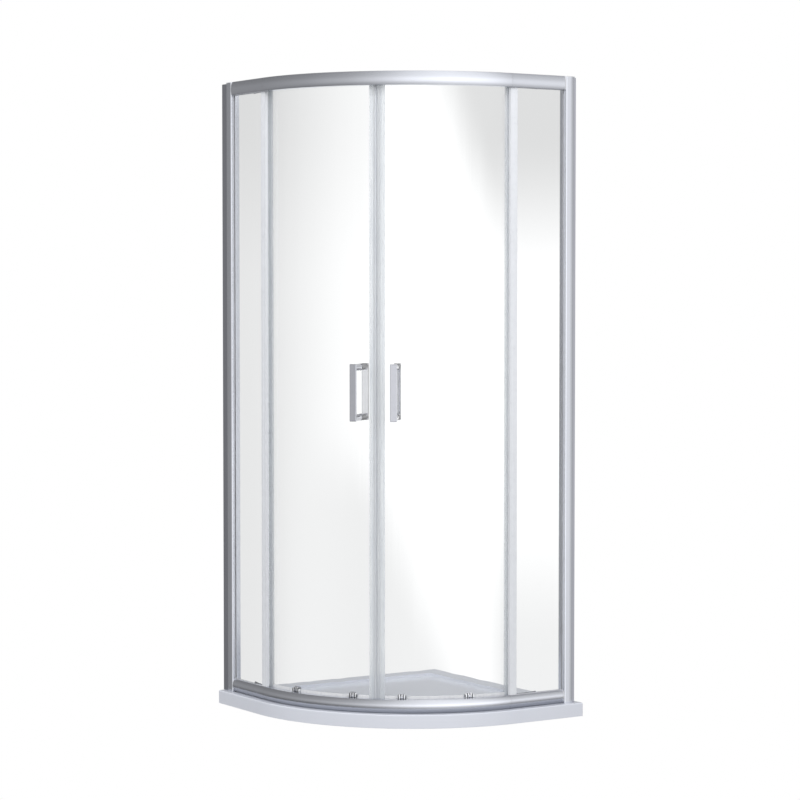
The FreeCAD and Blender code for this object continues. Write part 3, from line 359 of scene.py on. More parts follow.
@dataclass(frozen=True)
class Finish:
    """A surface finish; each kind says how its nodes are made.

    Attributes:
        name: the material's name.
        roughness: its mean roughness.
        swings: how far each noise moves the roughness.
    """

    name: str
    roughness: float = 0.0
    swings: tuple[float, ...] = ()

    def rough(self, *noises: Wire) -> Wire:
        """The roughness as some noises move it about its mean.

        Args:
            noises: one for each swing.

        Returns:
            The roughness.
        """
        value = self.roughness
        for noise, swing in zip(noises, self.swings):
            value = (noise - NOISE_MEAN) * swing + value
        return value

    def build(self) -> bpy.types.Material:
        """Makes the material.

        Returns:
            The material.
        """
        material = bpy.data.materials.new(self.name)
        material.use_nodes = True
        shader = Shader(material.node_tree)
        shader.end(self.surface(shader))
        return material

    def surface(self, shader: Shader) -> Wire:
        """The shader that the material shows."""
        raise NotImplementedError


@dataclass(frozen=True)
class SatinAluminium(Finish):
    """Satin silver extrusion with fine die lines, handling smears, a faint cloud of tone and, on a rail, painted
    shade at the foot.
    """

    grain: Grain = Grain.UPRIGHT
    dark: Colour = rgb(0.66, 0.68, 0.74)
    light: Colour = rgb(0.76, 0.78, 0.84)
    roughness: float = 0.24
    swings: tuple[float, ...] = (0.10, 0.08)
    lines: Noise = Noise(900.0, 3.0, stretch=(1.0, 1.0, 0.004))
    rail_lines: Noise = Noise(900.0, 3.0)
    smears: Noise = Noise(9.0, 4.0, 0.6)
    cloud: Noise = Noise(2.5)
    line_tone: float = 0.35
    relief: tuple[float, float] = (0.12, 0.00005)
    # The next three give the painted shade at a rail's foot: its colour, the heights it fades over, and its
    # strength.
    shade: Colour = rgb(0.33, 0.34, 0.37)
    shade_span: tuple[float, float] = (0.0665, 0.046)
    shade_share: float = 0.72

    def surface(self, shader: Shader) -> Wire:
        """Metal whose lines follow the extrusion; painted shade darkens a rail's foot.

        Args:
            shader: the material's tree.

        Returns:
            The surface.
        """
        place = shader.place()
        x, y, z = shader.axes(place)
        bent = self.grain is Grain.ALONG_RAIL
        if bent:
            across = (x - BEND.x).at_least(0.0) ** 2 + (BEND.y - y).at_least(0.0) ** 2
            lines = self.rail_lines.at(shader.level(across**0.5, z))
        else:
            lines = self.lines.at(place)
        cloud = self.cloud.at(place)
        tone = (lines * self.line_tone + cloud * (1 - self.line_tone)).clamped()
        metal = shader.blend(tone, self.dark, self.light)
        # On a bent rail, painted shade darkens the foot towards the tray.
        if bent:
            metal = shader.blend(z.eased(*self.shade_span) * self.shade_share, metal, self.shade)
        rough = self.rough(lines, self.smears.at(place))
        more = {"Metallic": 1.0, "Normal": shader.bump(lines, *self.relief)}
        return shader.principled(metal, rough, more)


@dataclass(frozen=True)
class ClearGlass(Finish):
    """Toughened safety glass with dried water marks, which lets the lamps through."""

    tint: Colour = rgb(0.965, 0.972, 0.974)
    ior: float = 1.45
    runs: Noise = Noise(38.0, 4.0, 0.6, (1.0, 1.0, 0.18))
    marks: Noise = Noise(160.0)
    mark_floor: float = 0.22
    mark_gain: float = 3.0
    haze: float = 0.012

    def surface(self, shader: Shader) -> Wire:
        """Clear glass that casts a pale shadow.

        Args:
            shader: the material's tree.

        Returns:
            The surface.
        """
        place = shader.place()
        wet = self.runs.at(place) * self.marks.at(place)
        spots = ((wet - self.mark_floor) * self.mark_gain).clamped()
        more = {"IOR": self.ior, "Transmission Weight": 1.0}
        glass = shader.principled(self.tint, spots * self.haze, more)
        clear = shader.node("ShaderNodeBsdfTransparent", sockets={"Color": self.tint})
        lamp = shader.node("ShaderNodeLightPath", output="Is Shadow Ray")
        return shader.node("ShaderNodeMixShader", sockets={0: lamp, 1: glass, 2: clear})


@dataclass(frozen=True)
class TrayAcrylic(Finish):
    """Gloss white cast acrylic with a faint ripple."""

    white: Colour = rgb(0.75, 0.775, 0.85)
    shade: Colour = rgb(0.715, 0.74, 0.815)
    cloud: Noise = Noise(3.0, 3.0)
    ripple: Noise = Noise(26.0)
    dust: Noise = Noise(420.0)
    roughness: float = 0.31
    swings: tuple[float, ...] = (0.08, 0.06)
    coat: float = 0.5
    coat_roughness: float = 0.08
    dust_height: float = 0.02
    relief: tuple[float, float] = (0.08, 0.0008)

    def surface(self, shader: Shader) -> Wire:
        """White gloss under a clear coat.

        Args:
            shader: the material's tree.

        Returns:
            The surface.
        """
        place = shader.place()
        cloud, dust = self.cloud.at(place), self.dust.at(place)
        height = self.ripple.at(place) + dust * self.dust_height
        return shader.principled(
            shader.blend(cloud, self.shade, self.white),
            self.rough(dust, cloud),
            {
                "Coat Weight": self.coat,
                "Coat Roughness": self.coat_roughness,
                "Normal": shader.bump(height, *self.relief),
            },
        )


@dataclass(frozen=True)
class ClearPvc(Finish):
    """Soft clear plastic, milky where it is thick or seen edge on."""

    tone: Colour = rgb(0.84, 0.86, 0.91)
    pale: Colour = rgb(0.95, 0.96, 0.99)
    cover: float = 0.31
    ribs: Noise = Noise(260.0, 1.0)
    rib_span: tuple[float, float] = (0.35, 0.65)
    rib_round: float = 0.5
    rib_rise: float = 0.02
    flow: Noise = Noise(700.0, stretch=(1.0, 1.0, 0.01))
    flow_cover: float = 0.12
    edge_cover: float = 0.35
    edge_width: float = 0.25
    see_through: Colour = rgb(0.97, 0.98, 0.98)
    roughness: float = 0.31
    swings: tuple[float, ...] = (0.12, 0.06)
    relief: tuple[float, float] = (0.1, 0.0001)

    def surface(self, shader: Shader) -> Wire:
        """Half see-through plastic with flow lines and ribs that run up it.

        Args:
            shader: the material's tree.

        Returns:
            The surface.
        """
        place = shader.place()
        x, y, z = shader.axes(place)
        turn = (y - BEND.y).turn_from(x - BEND.x)
        around = shader.level(turn * self.rib_round, z * self.rib_rise)
        flow = self.flow.at(place)
        ribs = self.ribs.at(around).eased(*self.rib_span)
        edge = shader.node(
            "ShaderNodeLayerWeight", sockets={"Blend": self.edge_width}, output="Facing"
        )
        skin = shader.principled(
            shader.blend(ribs, self.tone, self.pale),
            self.rough(flow, ribs),
            {"Normal": shader.bump(flow, *self.relief)},
        )
        clear = shader.node("ShaderNodeBsdfTransparent", sockets={"Color": self.see_through})
        share = (flow - NOISE_MEAN) * self.flow_cover + edge * self.edge_cover + self.cover
        return shader.node("ShaderNodeMixShader", sockets={0: share.clamped(), 1: clear, 2: skin})


@dataclass(frozen=True)
class Worn(Finish):
    """Two tones that wear blends, under a fine grain that also stands out as a bump."""

    tone: Colour = rgb(0.5, 0.5, 0.5)
    worn: Colour = rgb(0.5, 0.5, 0.5)
    metallic: float = 1.0
    grain: Noise = Noise(900.0, 3.0)
    wear: Noise = Noise(60.0, 3.0)
    relief: tuple[float, float] = (0.2, 0.00006)

    def surface(self, shader: Shader) -> Wire:
        """One opaque layer.

        Args:
            shader: the material's tree.

        Returns:
            The surface.
        """
        place = shader.place()
        grain, wear = self.grain.at(place), self.wear.at(place)
        return shader.principled(
            shader.blend(wear, self.tone, self.worn),
            self.rough(grain, wear),
            {"Metallic": self.metallic, "Normal": shader.bump(grain, *self.relief)},
        )


@dataclass(frozen=True)
class Moulded(Worn):
    """Opaque plastic or rubber with a fine moulded skin."""

    swings: tuple[float, ...] = (0.12, 0.10)
    metallic: float = 0.0


@dataclass(frozen=True)
class Chrome(Worn):
    """Polished plating with finger smears."""

    roughness: float = 0.155
    swings: tuple[float, ...] = (0.03, 0.10)
    tone: Colour = rgb(0.60, 0.61, 0.66)
    worn: Colour = rgb(0.54, 0.55, 0.60)
    grain: Noise = Noise(1400.0, stretch=(1.0, 1.0, 0.1))
    wear: Noise = Noise(70.0, 4.0, 0.6)
    relief: tuple[float, float] = (0.04, 0.00003)


@dataclass(frozen=True)
class TurnedSteel(Worn):
    """Plain steel with turning marks."""

    roughness: float = 0.365
    swings: tuple[float, ...] = (0.15, 0.1)
    tone: Colour = rgb(0.56, 0.57, 0.60)
    worn: Colour = rgb(0.47, 0.48, 0.50)
    grain: Noise = Noise(1600.0, 3.0)
    wear: Noise = Noise(120.0, 3.0)
    relief: tuple[float, float] = (0.15, 0.00003)


@dataclass(frozen=True)
class Slotted(Finish):
    """Plated housing with slots between bright bars, set out round the bend; the slots' darkness is painted shade.
    """

    bar: Colour = rgb(0.88, 0.89, 0.91)
    # slot: the near-black painted shade inside each slot.
    slot: Colour = rgb(0.06, 0.065, 0.08)
    pitch: float = 0.0072
    slot_edge: float = 0.35
    slot_depth: float = 2.0
    level: float = 0.0945
    level_edge: float = 0.002
    metallic: float = 0.6
    wear: Noise = Noise(300.0, 3.0)
    roughness: float = 0.3
    swings: tuple[float, ...] = (0.2,)
    relief: tuple[float, float] = (0.3, 0.0004)

    def surface(self, shader: Shader) -> Wire:
        """Bright metal with upright slots below its top edge, bumped in and filled with painted shade.

        Args:
            shader: the material's tree.

        Returns:
            The surface.
        """
        place = shader.place()
        x, y, z = shader.axes(place)
        turn = (y - BEND.y).turn_from(x - BEND.x) * (math.pi / self.pitch)
        wave = shader.node("ShaderNodeMath", {"operation": "SINE"}, {0: turn})
        below = z.eased(self.level, self.level - self.level_edge)
        grooves_and_shade = wave.eased(0.0, self.slot_edge) * below
        wear = self.wear.at(place)
        normal = shader.bump(wear - grooves_and_shade * self.slot_depth, *self.relief)
        # Painted shade fills the slots; the bars keep the plate's colour.
        tone = shader.blend(grooves_and_shade, self.bar, self.slot)
        more = {"Metallic": self.metallic, "Normal": normal}
        return shader.principled(tone, self.rough(wear), more)


class Finishes:
    """Makes each finish once and hands it out by its slot."""

    kinds: dict[str, Finish] = {
        "tray_white": TrayAcrylic("cast_acrylic"),
        "aluminium_satin": SatinAluminium("satin_extrusion"),
        "rail": SatinAluminium("satin_bent_rail", grain=Grain.ALONG_RAIL),
        "dull": SatinAluminium(
            "dull_extrusion", 0.34, dark=rgb(0.40, 0.41, 0.46), light=rgb(0.50, 0.51, 0.56)
        ),
        "glass_clear": ClearGlass("safety_glass"),
        "pvc_clear": ClearPvc("clear_strip"),
        "bush_clear": ClearPvc("clear_bush", cover=0.4),
        "milky": ClearPvc(
            "milky_seal", tone=rgb(0.90, 0.91, 0.94), pale=rgb(0.96, 0.97, 0.99), cover=0.85
        ),
        "chrome": Chrome("polished_plate"),
        "bright": Chrome("bright_plate", tone=rgb(0.93, 0.93, 0.95), worn=rgb(0.88, 0.88, 0.91)),
        "slotted": Slotted("slotted_housing"),
        "steel": TurnedSteel("turned_steel"),
        "coated": Moulded(
            "coated_stile",
            0.3,
            tone=rgb(0.74, 0.76, 0.80),
            worn=rgb(0.82, 0.84, 0.88),
            grain=Noise(300.0, 3.0),
        ),
        **{
            slot: Moulded(name, roughness, tone=rgb(*tone), worn=rgb(*worn))
            for slot, name, roughness, tone, worn in (
                ("cap_grey", "cap_plastic", 0.32, (0.62, 0.63, 0.66), (0.70, 0.71, 0.74)),
                ("gasket_grey", "glazing_rubber", 0.5, (0.58, 0.59, 0.63), (0.66, 0.67, 0.71)),
                ("rubber_dark", "stop_rubber", 0.6, (0.03, 0.03, 0.035), (0.06, 0.06, 0.065)),
                ("nylon_white", "wheel_nylon", 0.35, (0.80, 0.80, 0.78), (0.70, 0.70, 0.67)),
                ("magnet_dark", "magnet_bar", 0.4, (0.72, 0.73, 0.77), (0.78, 0.79, 0.83)),
            )
        },
    }

    def __init__(self) -> None:
        """Starts with nothing made."""
        self._made: dict[str, bpy.types.Material] = {}

    def get(self, slot: str) -> bpy.types.Material:
        """Hands out a material, which the first call makes.

        Args:
            slot: a slot, or the key of a finish that only some nodes of a slot have.

        Returns:
            The material.
        """
        if slot not in self._made:
            self._made[slot] = self.kinds[slot].build()
        return self._made[slot]


FINISHES = Finishes()


# --- mesh helpers ---


def eased_corner(before: Vector, corner: Vector, after: Vector, radius: float) -> list[Vector]:
    """Points of a corner that a quadratic curve eases, in three pieces.

    Args:
        before: a place on the side that comes first.
        corner: the sharp corner.
        after: a place on the other side.
        radius: the ease's radius.

    Returns:
        The points.
    """
    back, ahead = before - corner, after - corner
    reach = radius / math.tan(back.angle(ahead) / 2)
    start = corner + back.normalized() * reach
    end = corner + ahead.normalized() * reach
    return [
        start * (1 - share) ** 2 + corner * (2 * share * (1 - share)) + end * share**2
        for share in (0, 1 / 3, 2 / 3, 1)
    ]


def arc_through(start: Vector, middle: Vector, end: Vector, steps: int) -> list[Vector]:
    """Points along the circle through three points of a plane.

    Args:
        start: the first point.
        middle: a point between.
        end: the last point.
        steps: pieces.

    Returns:
        The points, with both ends.
    """
    first = middle - start
    second = end - start
    cross = 2 * (first.x * second.y - first.y * second.x)
    hub = start + Vector((
        (second.y * first.length_squared - first.y * second.length_squared) / cross,
        (first.x * second.length_squared - second.x * first.length_squared) / cross,
    ))
    from_angle = math.atan2(start.y - hub.y, start.x - hub.x)
    to_angle = math.atan2(end.y - hub.y, end.x - hub.x)
    sweep = (to_angle - from_angle + math.pi) % (2 * math.pi) - math.pi
    radius = (start - hub).length
    turns = [from_angle + sweep * step / steps for step in range(steps + 1)]
    return [hub + Vector((math.cos(turn), math.sin(turn))) * radius for turn in turns]


def form_of(mesh: bpy.types.Mesh) -> bmesh.types.BMesh:
    """An editable form of a mesh.

    Args:
        mesh: the mesh, which stays as it is.

    Returns:
        The form.
    """
    form = bmesh.new()
    form.from_mesh(mesh)
    return form


def settled(form: bmesh.types.BMesh, mesh: bpy.types.Mesh) -> bpy.types.Mesh:
    """Writes a form to a mesh and frees the form.

    Args:
        form: the form.
        mesh: the mesh.

    Returns:
        The same mesh.
    """
    form.to_mesh(mesh)
    form.free()
    return mesh


def lathe(name: str, profile: Outline, steps: int = 32) -> bpy.types.Mesh:
    """A solid of revolution about Z.

    Args:
        name: the mesh's name.
        profile: (radius, height) points in millimetres, from the foot's middle to the head's
            middle, or a closed loop that runs outwards along the foot first.
        steps: pieces round it.

    Returns:
        The mesh, in metres.
    """
    form = bmesh.new()
    turns = [2 * math.pi * step / steps for step in range(steps)]
    rings = []
    for radius, height in profile:
        r, z = radius / 1000, height / 1000
        around = turns if radius else turns[:1]
        rings.append([form.verts.new((r * math.cos(t), r * math.sin(t), z)) for t in around])
    for lower, upper in zip(rings, rings[1:]):
        for step in range(steps):
            after = (step + 1) % steps
            corners = [
                lower[step % len(lower)],
                lower[after % len(lower)],
                upper[after % len(upper)],
                upper[step % len(upper)],
            ]
            unique = list(dict.fromkeys(corners))
            if len(unique) > 2:
                form.faces.new(unique)
    bmesh.ops.remove_doubles(form, verts=form.verts, dist=1e-8)
    return settled(form, bpy.data.meshes.new(name))


def joined(name: str, meshes: list[bpy.types.Mesh]) -> bpy.types.Mesh:
    """One mesh from several, whose sources are removed.

    Args:
        name: the new mesh's name.
        meshes: the sources.

    Returns:
        The mesh.
    """
    form = bmesh.new()
    for mesh in meshes:
        form.from_mesh(mesh)
        bpy.data.meshes.remove(mesh)
    return settled(form, bpy.data.meshes.new(name))


def eased(mesh: bpy.types.Mesh, width: float, sharp: float) -> bpy.types.Mesh:
    """Rounds a mesh's sharp edges.

    Args:
        mesh: the mesh, changed in place.
        width: how far back each edge is cut.
        sharp: edges that turn by more degrees than this are rounded.

    Returns:
        The same mesh.
    """
    form = form_of(mesh)
    limit = math.radians(sharp)
    edges = [edge for edge in form.edges if edge.calc_face_angle(0.0) > limit]
    bmesh.ops.bevel(
        form, geom=edges, offset=width, segments=2, profile=0.5, affect="EDGES", clamp_overlap=False
    )
    return settled(form, mesh)


def evaluated(thing: bpy.types.Object) -> bpy.types.Mesh:
    """A plain mesh of an object as its modifiers leave it."""
    graph = bpy.context.evaluated_depsgraph_get()
    return bpy.data.meshes.new_from_object(thing.evaluated_get(graph))


def smoothed(thing: bpy.types.Object, sharp: float) -> None:
    """Shades an object smoothly, with flat faces kept flat by normals weighted by area.

    Args:
        thing: the object.
        sharp: edges that turn by more degrees than this stay sharp.
    """
    old = thing.data
    old.shade_smooth()
    old.set_sharp_from_angle(angle=math.radians(sharp))
    weigh = thing.modifiers.new("weigh", "WEIGHTED_NORMAL")
    weigh.keep_sharp = True
    mesh = evaluated(thing)
    thing.modifiers.clear()
    thing.data = mesh
    mesh.name = thing.name
    bpy.data.meshes.remove(old)


def linked(name: str, data: bpy.types.ID) -> bpy.types.Object:
    """A new object in the scene.

    Args:
        name: its name.
        data: its mesh, curve, lamp or camera.

    Returns:
        The object.
    """
    thing = bpy.data.objects.new(name, data)
    bpy.context.scene.collection.objects.link(thing)
    return thing


def turned_to(thing: bpy.types.Object, ahead: Vector) -> None:
    """Turns a camera or a lamp to look along a direction."""
    thing.rotation_mode = "QUATERNION"
    thing.rotation_quaternion = ahead.to_track_quat("-Z", "Y")


@dataclass
class Piece:
    """A finished piece that stands for a CAD node; it rides on the node's body.

    Attributes:
        node: the node.
        mesh: the piece's form.
        finish: a finish other than its slot's.
        sharp: edges that turn by more degrees than this look sharp.
    """

    node: str
    mesh: bpy.types.Mesh
    finish: str | None = None
    sharp: float = 35.0

    def add(self) -> bpy.types.Object:
        """Puts the piece in the scene and dresses it.

        Returns:
            The piece's object.
        """
        record = frame["record"]
        bodies = record["behaviour"]["bodies"]
        body = next(name for name, nodes in bodies.items() if self.node in nodes)
        parts = record["subparts"]
        slot = next(part["material_slot"] for part in parts if part["node"] == self.node)
        thing = linked(f"{self.node}_piece", self.mesh)
        smoothed(thing, self.sharp)
        thing.data.materials.clear()
        thing.data.materials.append(FINISHES.get(self.finish or slot))
        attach(thing, body)
        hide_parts(self.node)
        LOG.info("%s: %d faces on %s", thing.name, len(thing.data.polygons), body)
        return thing


@dataclass(frozen=True)
class Softened:
    """A CAD node's own form with its triangles joined, its edges eased and its curves smooth."""

    node: str
    edge: float
    sharp: float = 30.0
    weld: float = 0.000002
    flat: float = 0.3

    def mesh(self) -> bpy.types.Mesh:
        """The eased mesh.

        Returns:
            The mesh.
        """
        form = form_of(frame["nodes"][self.node].data)
        bmesh.ops.remove_doubles(form, verts=form.verts, dist=self.weld)
        limit = math.radians(self.flat)
        bmesh.ops.dissolve_limit(form, angle_limit=limit, verts=form.verts, edges=form.edges)
        mesh = settled(form, bpy.data.meshes.new(f"{self.node}_form"))
        return eased(mesh, self.edge, self.sharp) if self.edge else mesh

    def solids(self) -> list[tuple[Vector, Vector]]:
        """The boxes of the node's separate solids.

        Returns:
            Each box as its low and its high corner, in an order that stays.
        """
        form = form_of(frame["nodes"][self.node].data)
        bmesh.ops.remove_doubles(form, verts=form.verts, dist=self.weld)
        left = set(form.verts)
        boxes = []
        while left:
            front = [left.pop()]
            found = list(front)
            while front:
                corner = front.pop()
                fresh = [edge.other_vert(corner) for edge in corner.link_edges]
                fresh = [other for other in dict.fromkeys(fresh) if other in left]
                left.difference_update(fresh)
                front += fresh
                found += fresh
            spans = [[corner.co[axis] for corner in found] for axis in range(3)]
            boxes.append((Vector(map(min, spans)), Vector(map(max, spans))))
        form.free()
        return sorted(boxes, key=lambda box: tuple(box[0]))

    def add(self, finish: str | None = None) -> bpy.types.Object:
        """Adds the piece, in a finish other than its slot's if one is given."""
        return Piece(self.node, self.mesh(), finish).add()


# --- geometry node trees ---


class Grower:
    """A Geometry Nodes tree with named inputs, which turns an object into a plain mesh."""

    def __init__(self, name: str, **kinds: str) -> None:
        """Starts a tree.

        Args:
            name: the tree's name.
            kinds: each input's name and the last part of its socket type.
        """
        self.group = bpy.data.node_groups.new(name, "GeometryNodeTree")
        self.shader = Shader(self.group)
        self._identifiers: dict[str, str] = {}
        kinds = {"Geometry": "Geometry", **kinds, "Finish": "Material"}
        face = self.group.interface
        for label, kind in kinds.items():
            socket = face.new_socket(label, in_out="INPUT", socket_type=f"NodeSocket{kind}")
            self._identifiers[label] = socket.identifier
        face.new_socket("Geometry", in_out="OUTPUT", socket_type="NodeSocketGeometry")
        start = self.group.nodes.new("NodeGroupInput")
        self.given = {label: Wire(self.shader, start.outputs[label]) for label in kinds}

    def node(self, kind: str, settings: dict | None = None, **sockets: object) -> Wire:
        """Adds a geometry node.

        Args:
            kind: the node's type.
            settings: its properties.
            sockets: values or links of its inputs by name, with _ for a space.

        Returns:
            Its geometry, or else its first output.
        """
        named = {name.replace("_", " "): value for name, value in sockets.items()}
        wire = self.shader.node(kind, settings, named)
        outputs = wire.socket.node.outputs
        return self.shader.other(wire, "Geometry") if "Geometry" in outputs else wire

    def finish(self, geometry: Wire) -> "Grower":
        """Ends the tree with its real geometry and its material.

        Args:
            geometry: what the tree has made.

        Returns:
            This grower.
        """
        real = self.node("GeometryNodeRealizeInstances", Geometry=geometry)
        dressed = self.node(
            "GeometryNodeSetMaterial", Geometry=real, Material=self.given["Finish"]
        )
        end = self.group.nodes.new("NodeGroupOutput")
        self.group.links.new(dressed.socket, end.inputs["Geometry"])
        return self

    def grow(self, name: str, data: bpy.types.ID, **values: object) -> bpy.types.Mesh:
        """Runs the tree on some data.

        Args:
            name: the mesh's name.
            data: the curve or mesh that goes in.
            values: the inputs' values by name; Finish is a slot or the name of a finish.

        Returns:
            The plain mesh.
        """
        thing = linked(name, data)
        modifier = thing.modifiers.new(name, "NODES")
        modifier.node_group = self.group
        values["Finish"] = FINISHES.get(values["Finish"])
        for label, value in values.items():
            modifier[self._identifiers[label]] = value
        mesh = evaluated(thing)
        bpy.data.objects.remove(thing)
        return mesh


def sweeper() -> Grower:
    """A tree that sweeps a section along a level path.

    Returns:
        The tree.
    """
    tree = Grower("swept_section", Section="Object")
    path = tree.node("GeometryNodeSetCurveNormal", {"mode": "Z_UP"}, Curve=tree.given["Geometry"])
    section = tree.node("GeometryNodeObjectInfo", Object=tree.given["Section"])
    return tree.finish(
        tree.node("GeometryNodeCurveToMesh", Curve=path, Profile_Curve=section, Fill_Caps=True)
    )


def coiler(steps: int = 28, sides: int = 10) -> Grower:
    """A tree that winds a compression spring about Z from its own sizes.

    Args:
        steps: pieces in each turn.
        sides: pieces round the wire.

    Returns:
        The tree.
    """
    tree = Grower("wound_spring", Radius="Float", Wire="Float", Length="Float", Turns="Float")
    given = tree.given
    path = tree.node(
        "GeometryNodeCurveSpiral",
        Resolution=steps,
        Rotations=given["Turns"],
        Start_Radius=given["Radius"],
        End_Radius=given["Radius"],
        Height=given["Length"],
    )
    section = tree.node(
        "GeometryNodeCurvePrimitiveCircle", Resolution=sides, Radius=given["Wire"]
    )
    return tree.finish(
        tree.node("GeometryNodeCurveToMesh", Curve=path, Profile_Curve=section, Fill_Caps=True)
    )


def fastener() -> Grower:
    """A tree that sets one fastener on every point, with its Z along the point's own way.

    Returns:
        The tree.
    """
    tree = Grower("set_fasteners", Fastener="Object")
    item = tree.node("GeometryNodeObjectInfo", Object=tree.given["Fastener"])
    way = tree.node("GeometryNodeInputNamedAttribute", {"data_type": "FLOAT_VECTOR"}, Name="way")
    turn = tree.node("FunctionNodeAlignRotationToVector", {"axis": "Z"}, Vector=way)
    return tree.finish(
        tree.node(
            "GeometryNodeInstanceOnPoints",
            Points=tree.given["Geometry"],
            Instance=item,
            Rotation=turn,
        )
    )


def curve_of(name: str, points: list[Vector], closed: bool) -> bpy.types.Curve:
    """A curve of straight runs through points.

    Args:
        name: the curve's name.
        points: the points.
        closed: whether it ends where it starts.

    Returns:
        The curve.
    """
    curve = bpy.data.curves.new(name, "CURVE")
    curve.dimensions = "3D"
    spline = curve.splines.new("POLY")
    spline.points.add(len(points) - 1)
    for knot, point in zip(spline.points, points):
        knot.co = (*point, 1)
    spline.use_cyclic_u = closed
    return curve


# --- the rails ---


class RailKind(Enum):
    """The two rails; the top one hangs upside down."""

    BOTTOM = "bottom_rail"
    TOP = "top_rail"


@dataclass
class Rail:
    """A bent rail: rounded face, seat flange and roller track, swept along the front.

    Attributes:
        kind: which rail it is.
        face: radii of its outer face at its foot, its bulge and its crown.
        tree: the tree that sweeps it.
    """

    kind: RailKind
    face: Triple
    tree: Grower
    height: float = 0.040
    bulge_level: float = 0.019
    face_steps: int = 14
    ease: float = 0.0008
    inside: float = 0.513
    flange: float = 0.503
    flange_thick: float = 0.002
    rib: tuple[float, float] = (0.5057, 0.5073)
    rib_level: float = 0.02815
    run_on: float = 13.0
    end: float = 0.060
    step: float = 1.5
    path_radius: float = 0.5

    def _section(self, points: Outline) -> bpy.types.Object:
        """A section curve from (radius, height) points of the bottom rail that run anticlockwise.

        Args:
            points: the section's points.

        Returns:
            The curve object, with x outwards from the path and y downwards from the floor.
        """
        low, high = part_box(self.kind.value)
        hung = self.kind is RailKind.TOP
        levels = [high.z - height if hung else low.z + height for _, height in points]
        placed = [
            Vector((radius - self.path_radius, -level, 0))
            for (radius, _), level in zip(points, levels)
        ]
        if not hung:
            placed.reverse()
        return linked("section", curve_of("section", placed, True))

    def _face_points(self) -> Outline:
        """The outer face from its foot to its crown, with both ends eased.

        Returns:
            Its (radius, height) points.
        """
        levels = (0, self.bulge_level, self.height)
        arc = arc_through(*map(Vector, zip(self.face, levels)), self.face_steps)
        inward = Vector((-1, 0))
        lower = eased_corner(arc[0] + inward, arc[0], arc[1], self.ease)
        upper = eased_corner(arc[-2], arc[-1], arc[-1] + inward, self.ease)
        return [(point.x, point.y) for point in lower + arc[1:-1] + upper]

    def _rib_points(self, far_level: float) -> Outline:
        """The track's rib, from its near side round to a level on its far side."""
        near, far, low = *self.rib, self.rib_level
        return [(near, self.height), (near, low), (far, low), (far, far_level)]

    def _profile(self, track: bool) -> Outline:
        """The whole section, with or without the roller track.

        Args:
            track: whether it has the roller track.

        Returns:
            Its (radius, height) points.
        """
        inner = [(self.inside, self.height)]
        if track:
            under = self.height - self.flange_thick
            inner = [*self._rib_points(under), (self.inside, under)]
        thick = self.flange_thick
        foot = [(self.inside, thick), (self.flange, thick), (self.flange, 0)]
        return self._face_points() + inner + foot

    def _sweep(self, path: list[Vector], section: bpy.types.Object) -> bpy.types.Mesh:
        """Sweeps a section along a path.

        Args:
            path: the path's points.
            section: the section's curve object.

        Returns:
            The mesh.
        """
        curve = curve_of("rail_path", path, False)
        mesh = self.tree.grow(self.kind.value, curve, Section=section, Finish="rail")
        bpy.data.curves.remove(curve)
        return mesh

    def build(self) -> None:
        """Adds the rail: its two straight ends, its bend, and the track's runs past the bend."""
        bend = self._section(self._profile(True))
        plain = self._section(self._profile(False))
        track = self._section(self._rib_points(self.height))
        run = STRAIGHT - self.end
        left, right = (BEND.point(self.path_radius, turn) for turn in (-HALF_BEND, HALF_BEND))
        ends = ([left - Vector((run, 0, 0)), left], [right, right + Vector((0, run, 0))])
        meshes = [self._sweep(path, plain) for path in ends]
        for start, end, section in (
            (-HALF_BEND, HALF_BEND, bend),
            (HALF_BEND, HALF_BEND + self.run_on, track),
            (-HALF_BEND - self.run_on, -HALF_BEND, track),
        ):
            count = round((end - start) / self.step)
            turns = [start + (end - start) * index / count for index in range(count + 1)]
            path = [BEND.point(self.path_radius, turn) for turn in turns]
            meshes.append(self._sweep(path, section))
        for section in (bend, plain, track):
            bpy.data.objects.remove(section)
        Piece(self.kind.value, joined(self.kind.value, meshes), "rail").add()


# --- posts and fixed panes ---


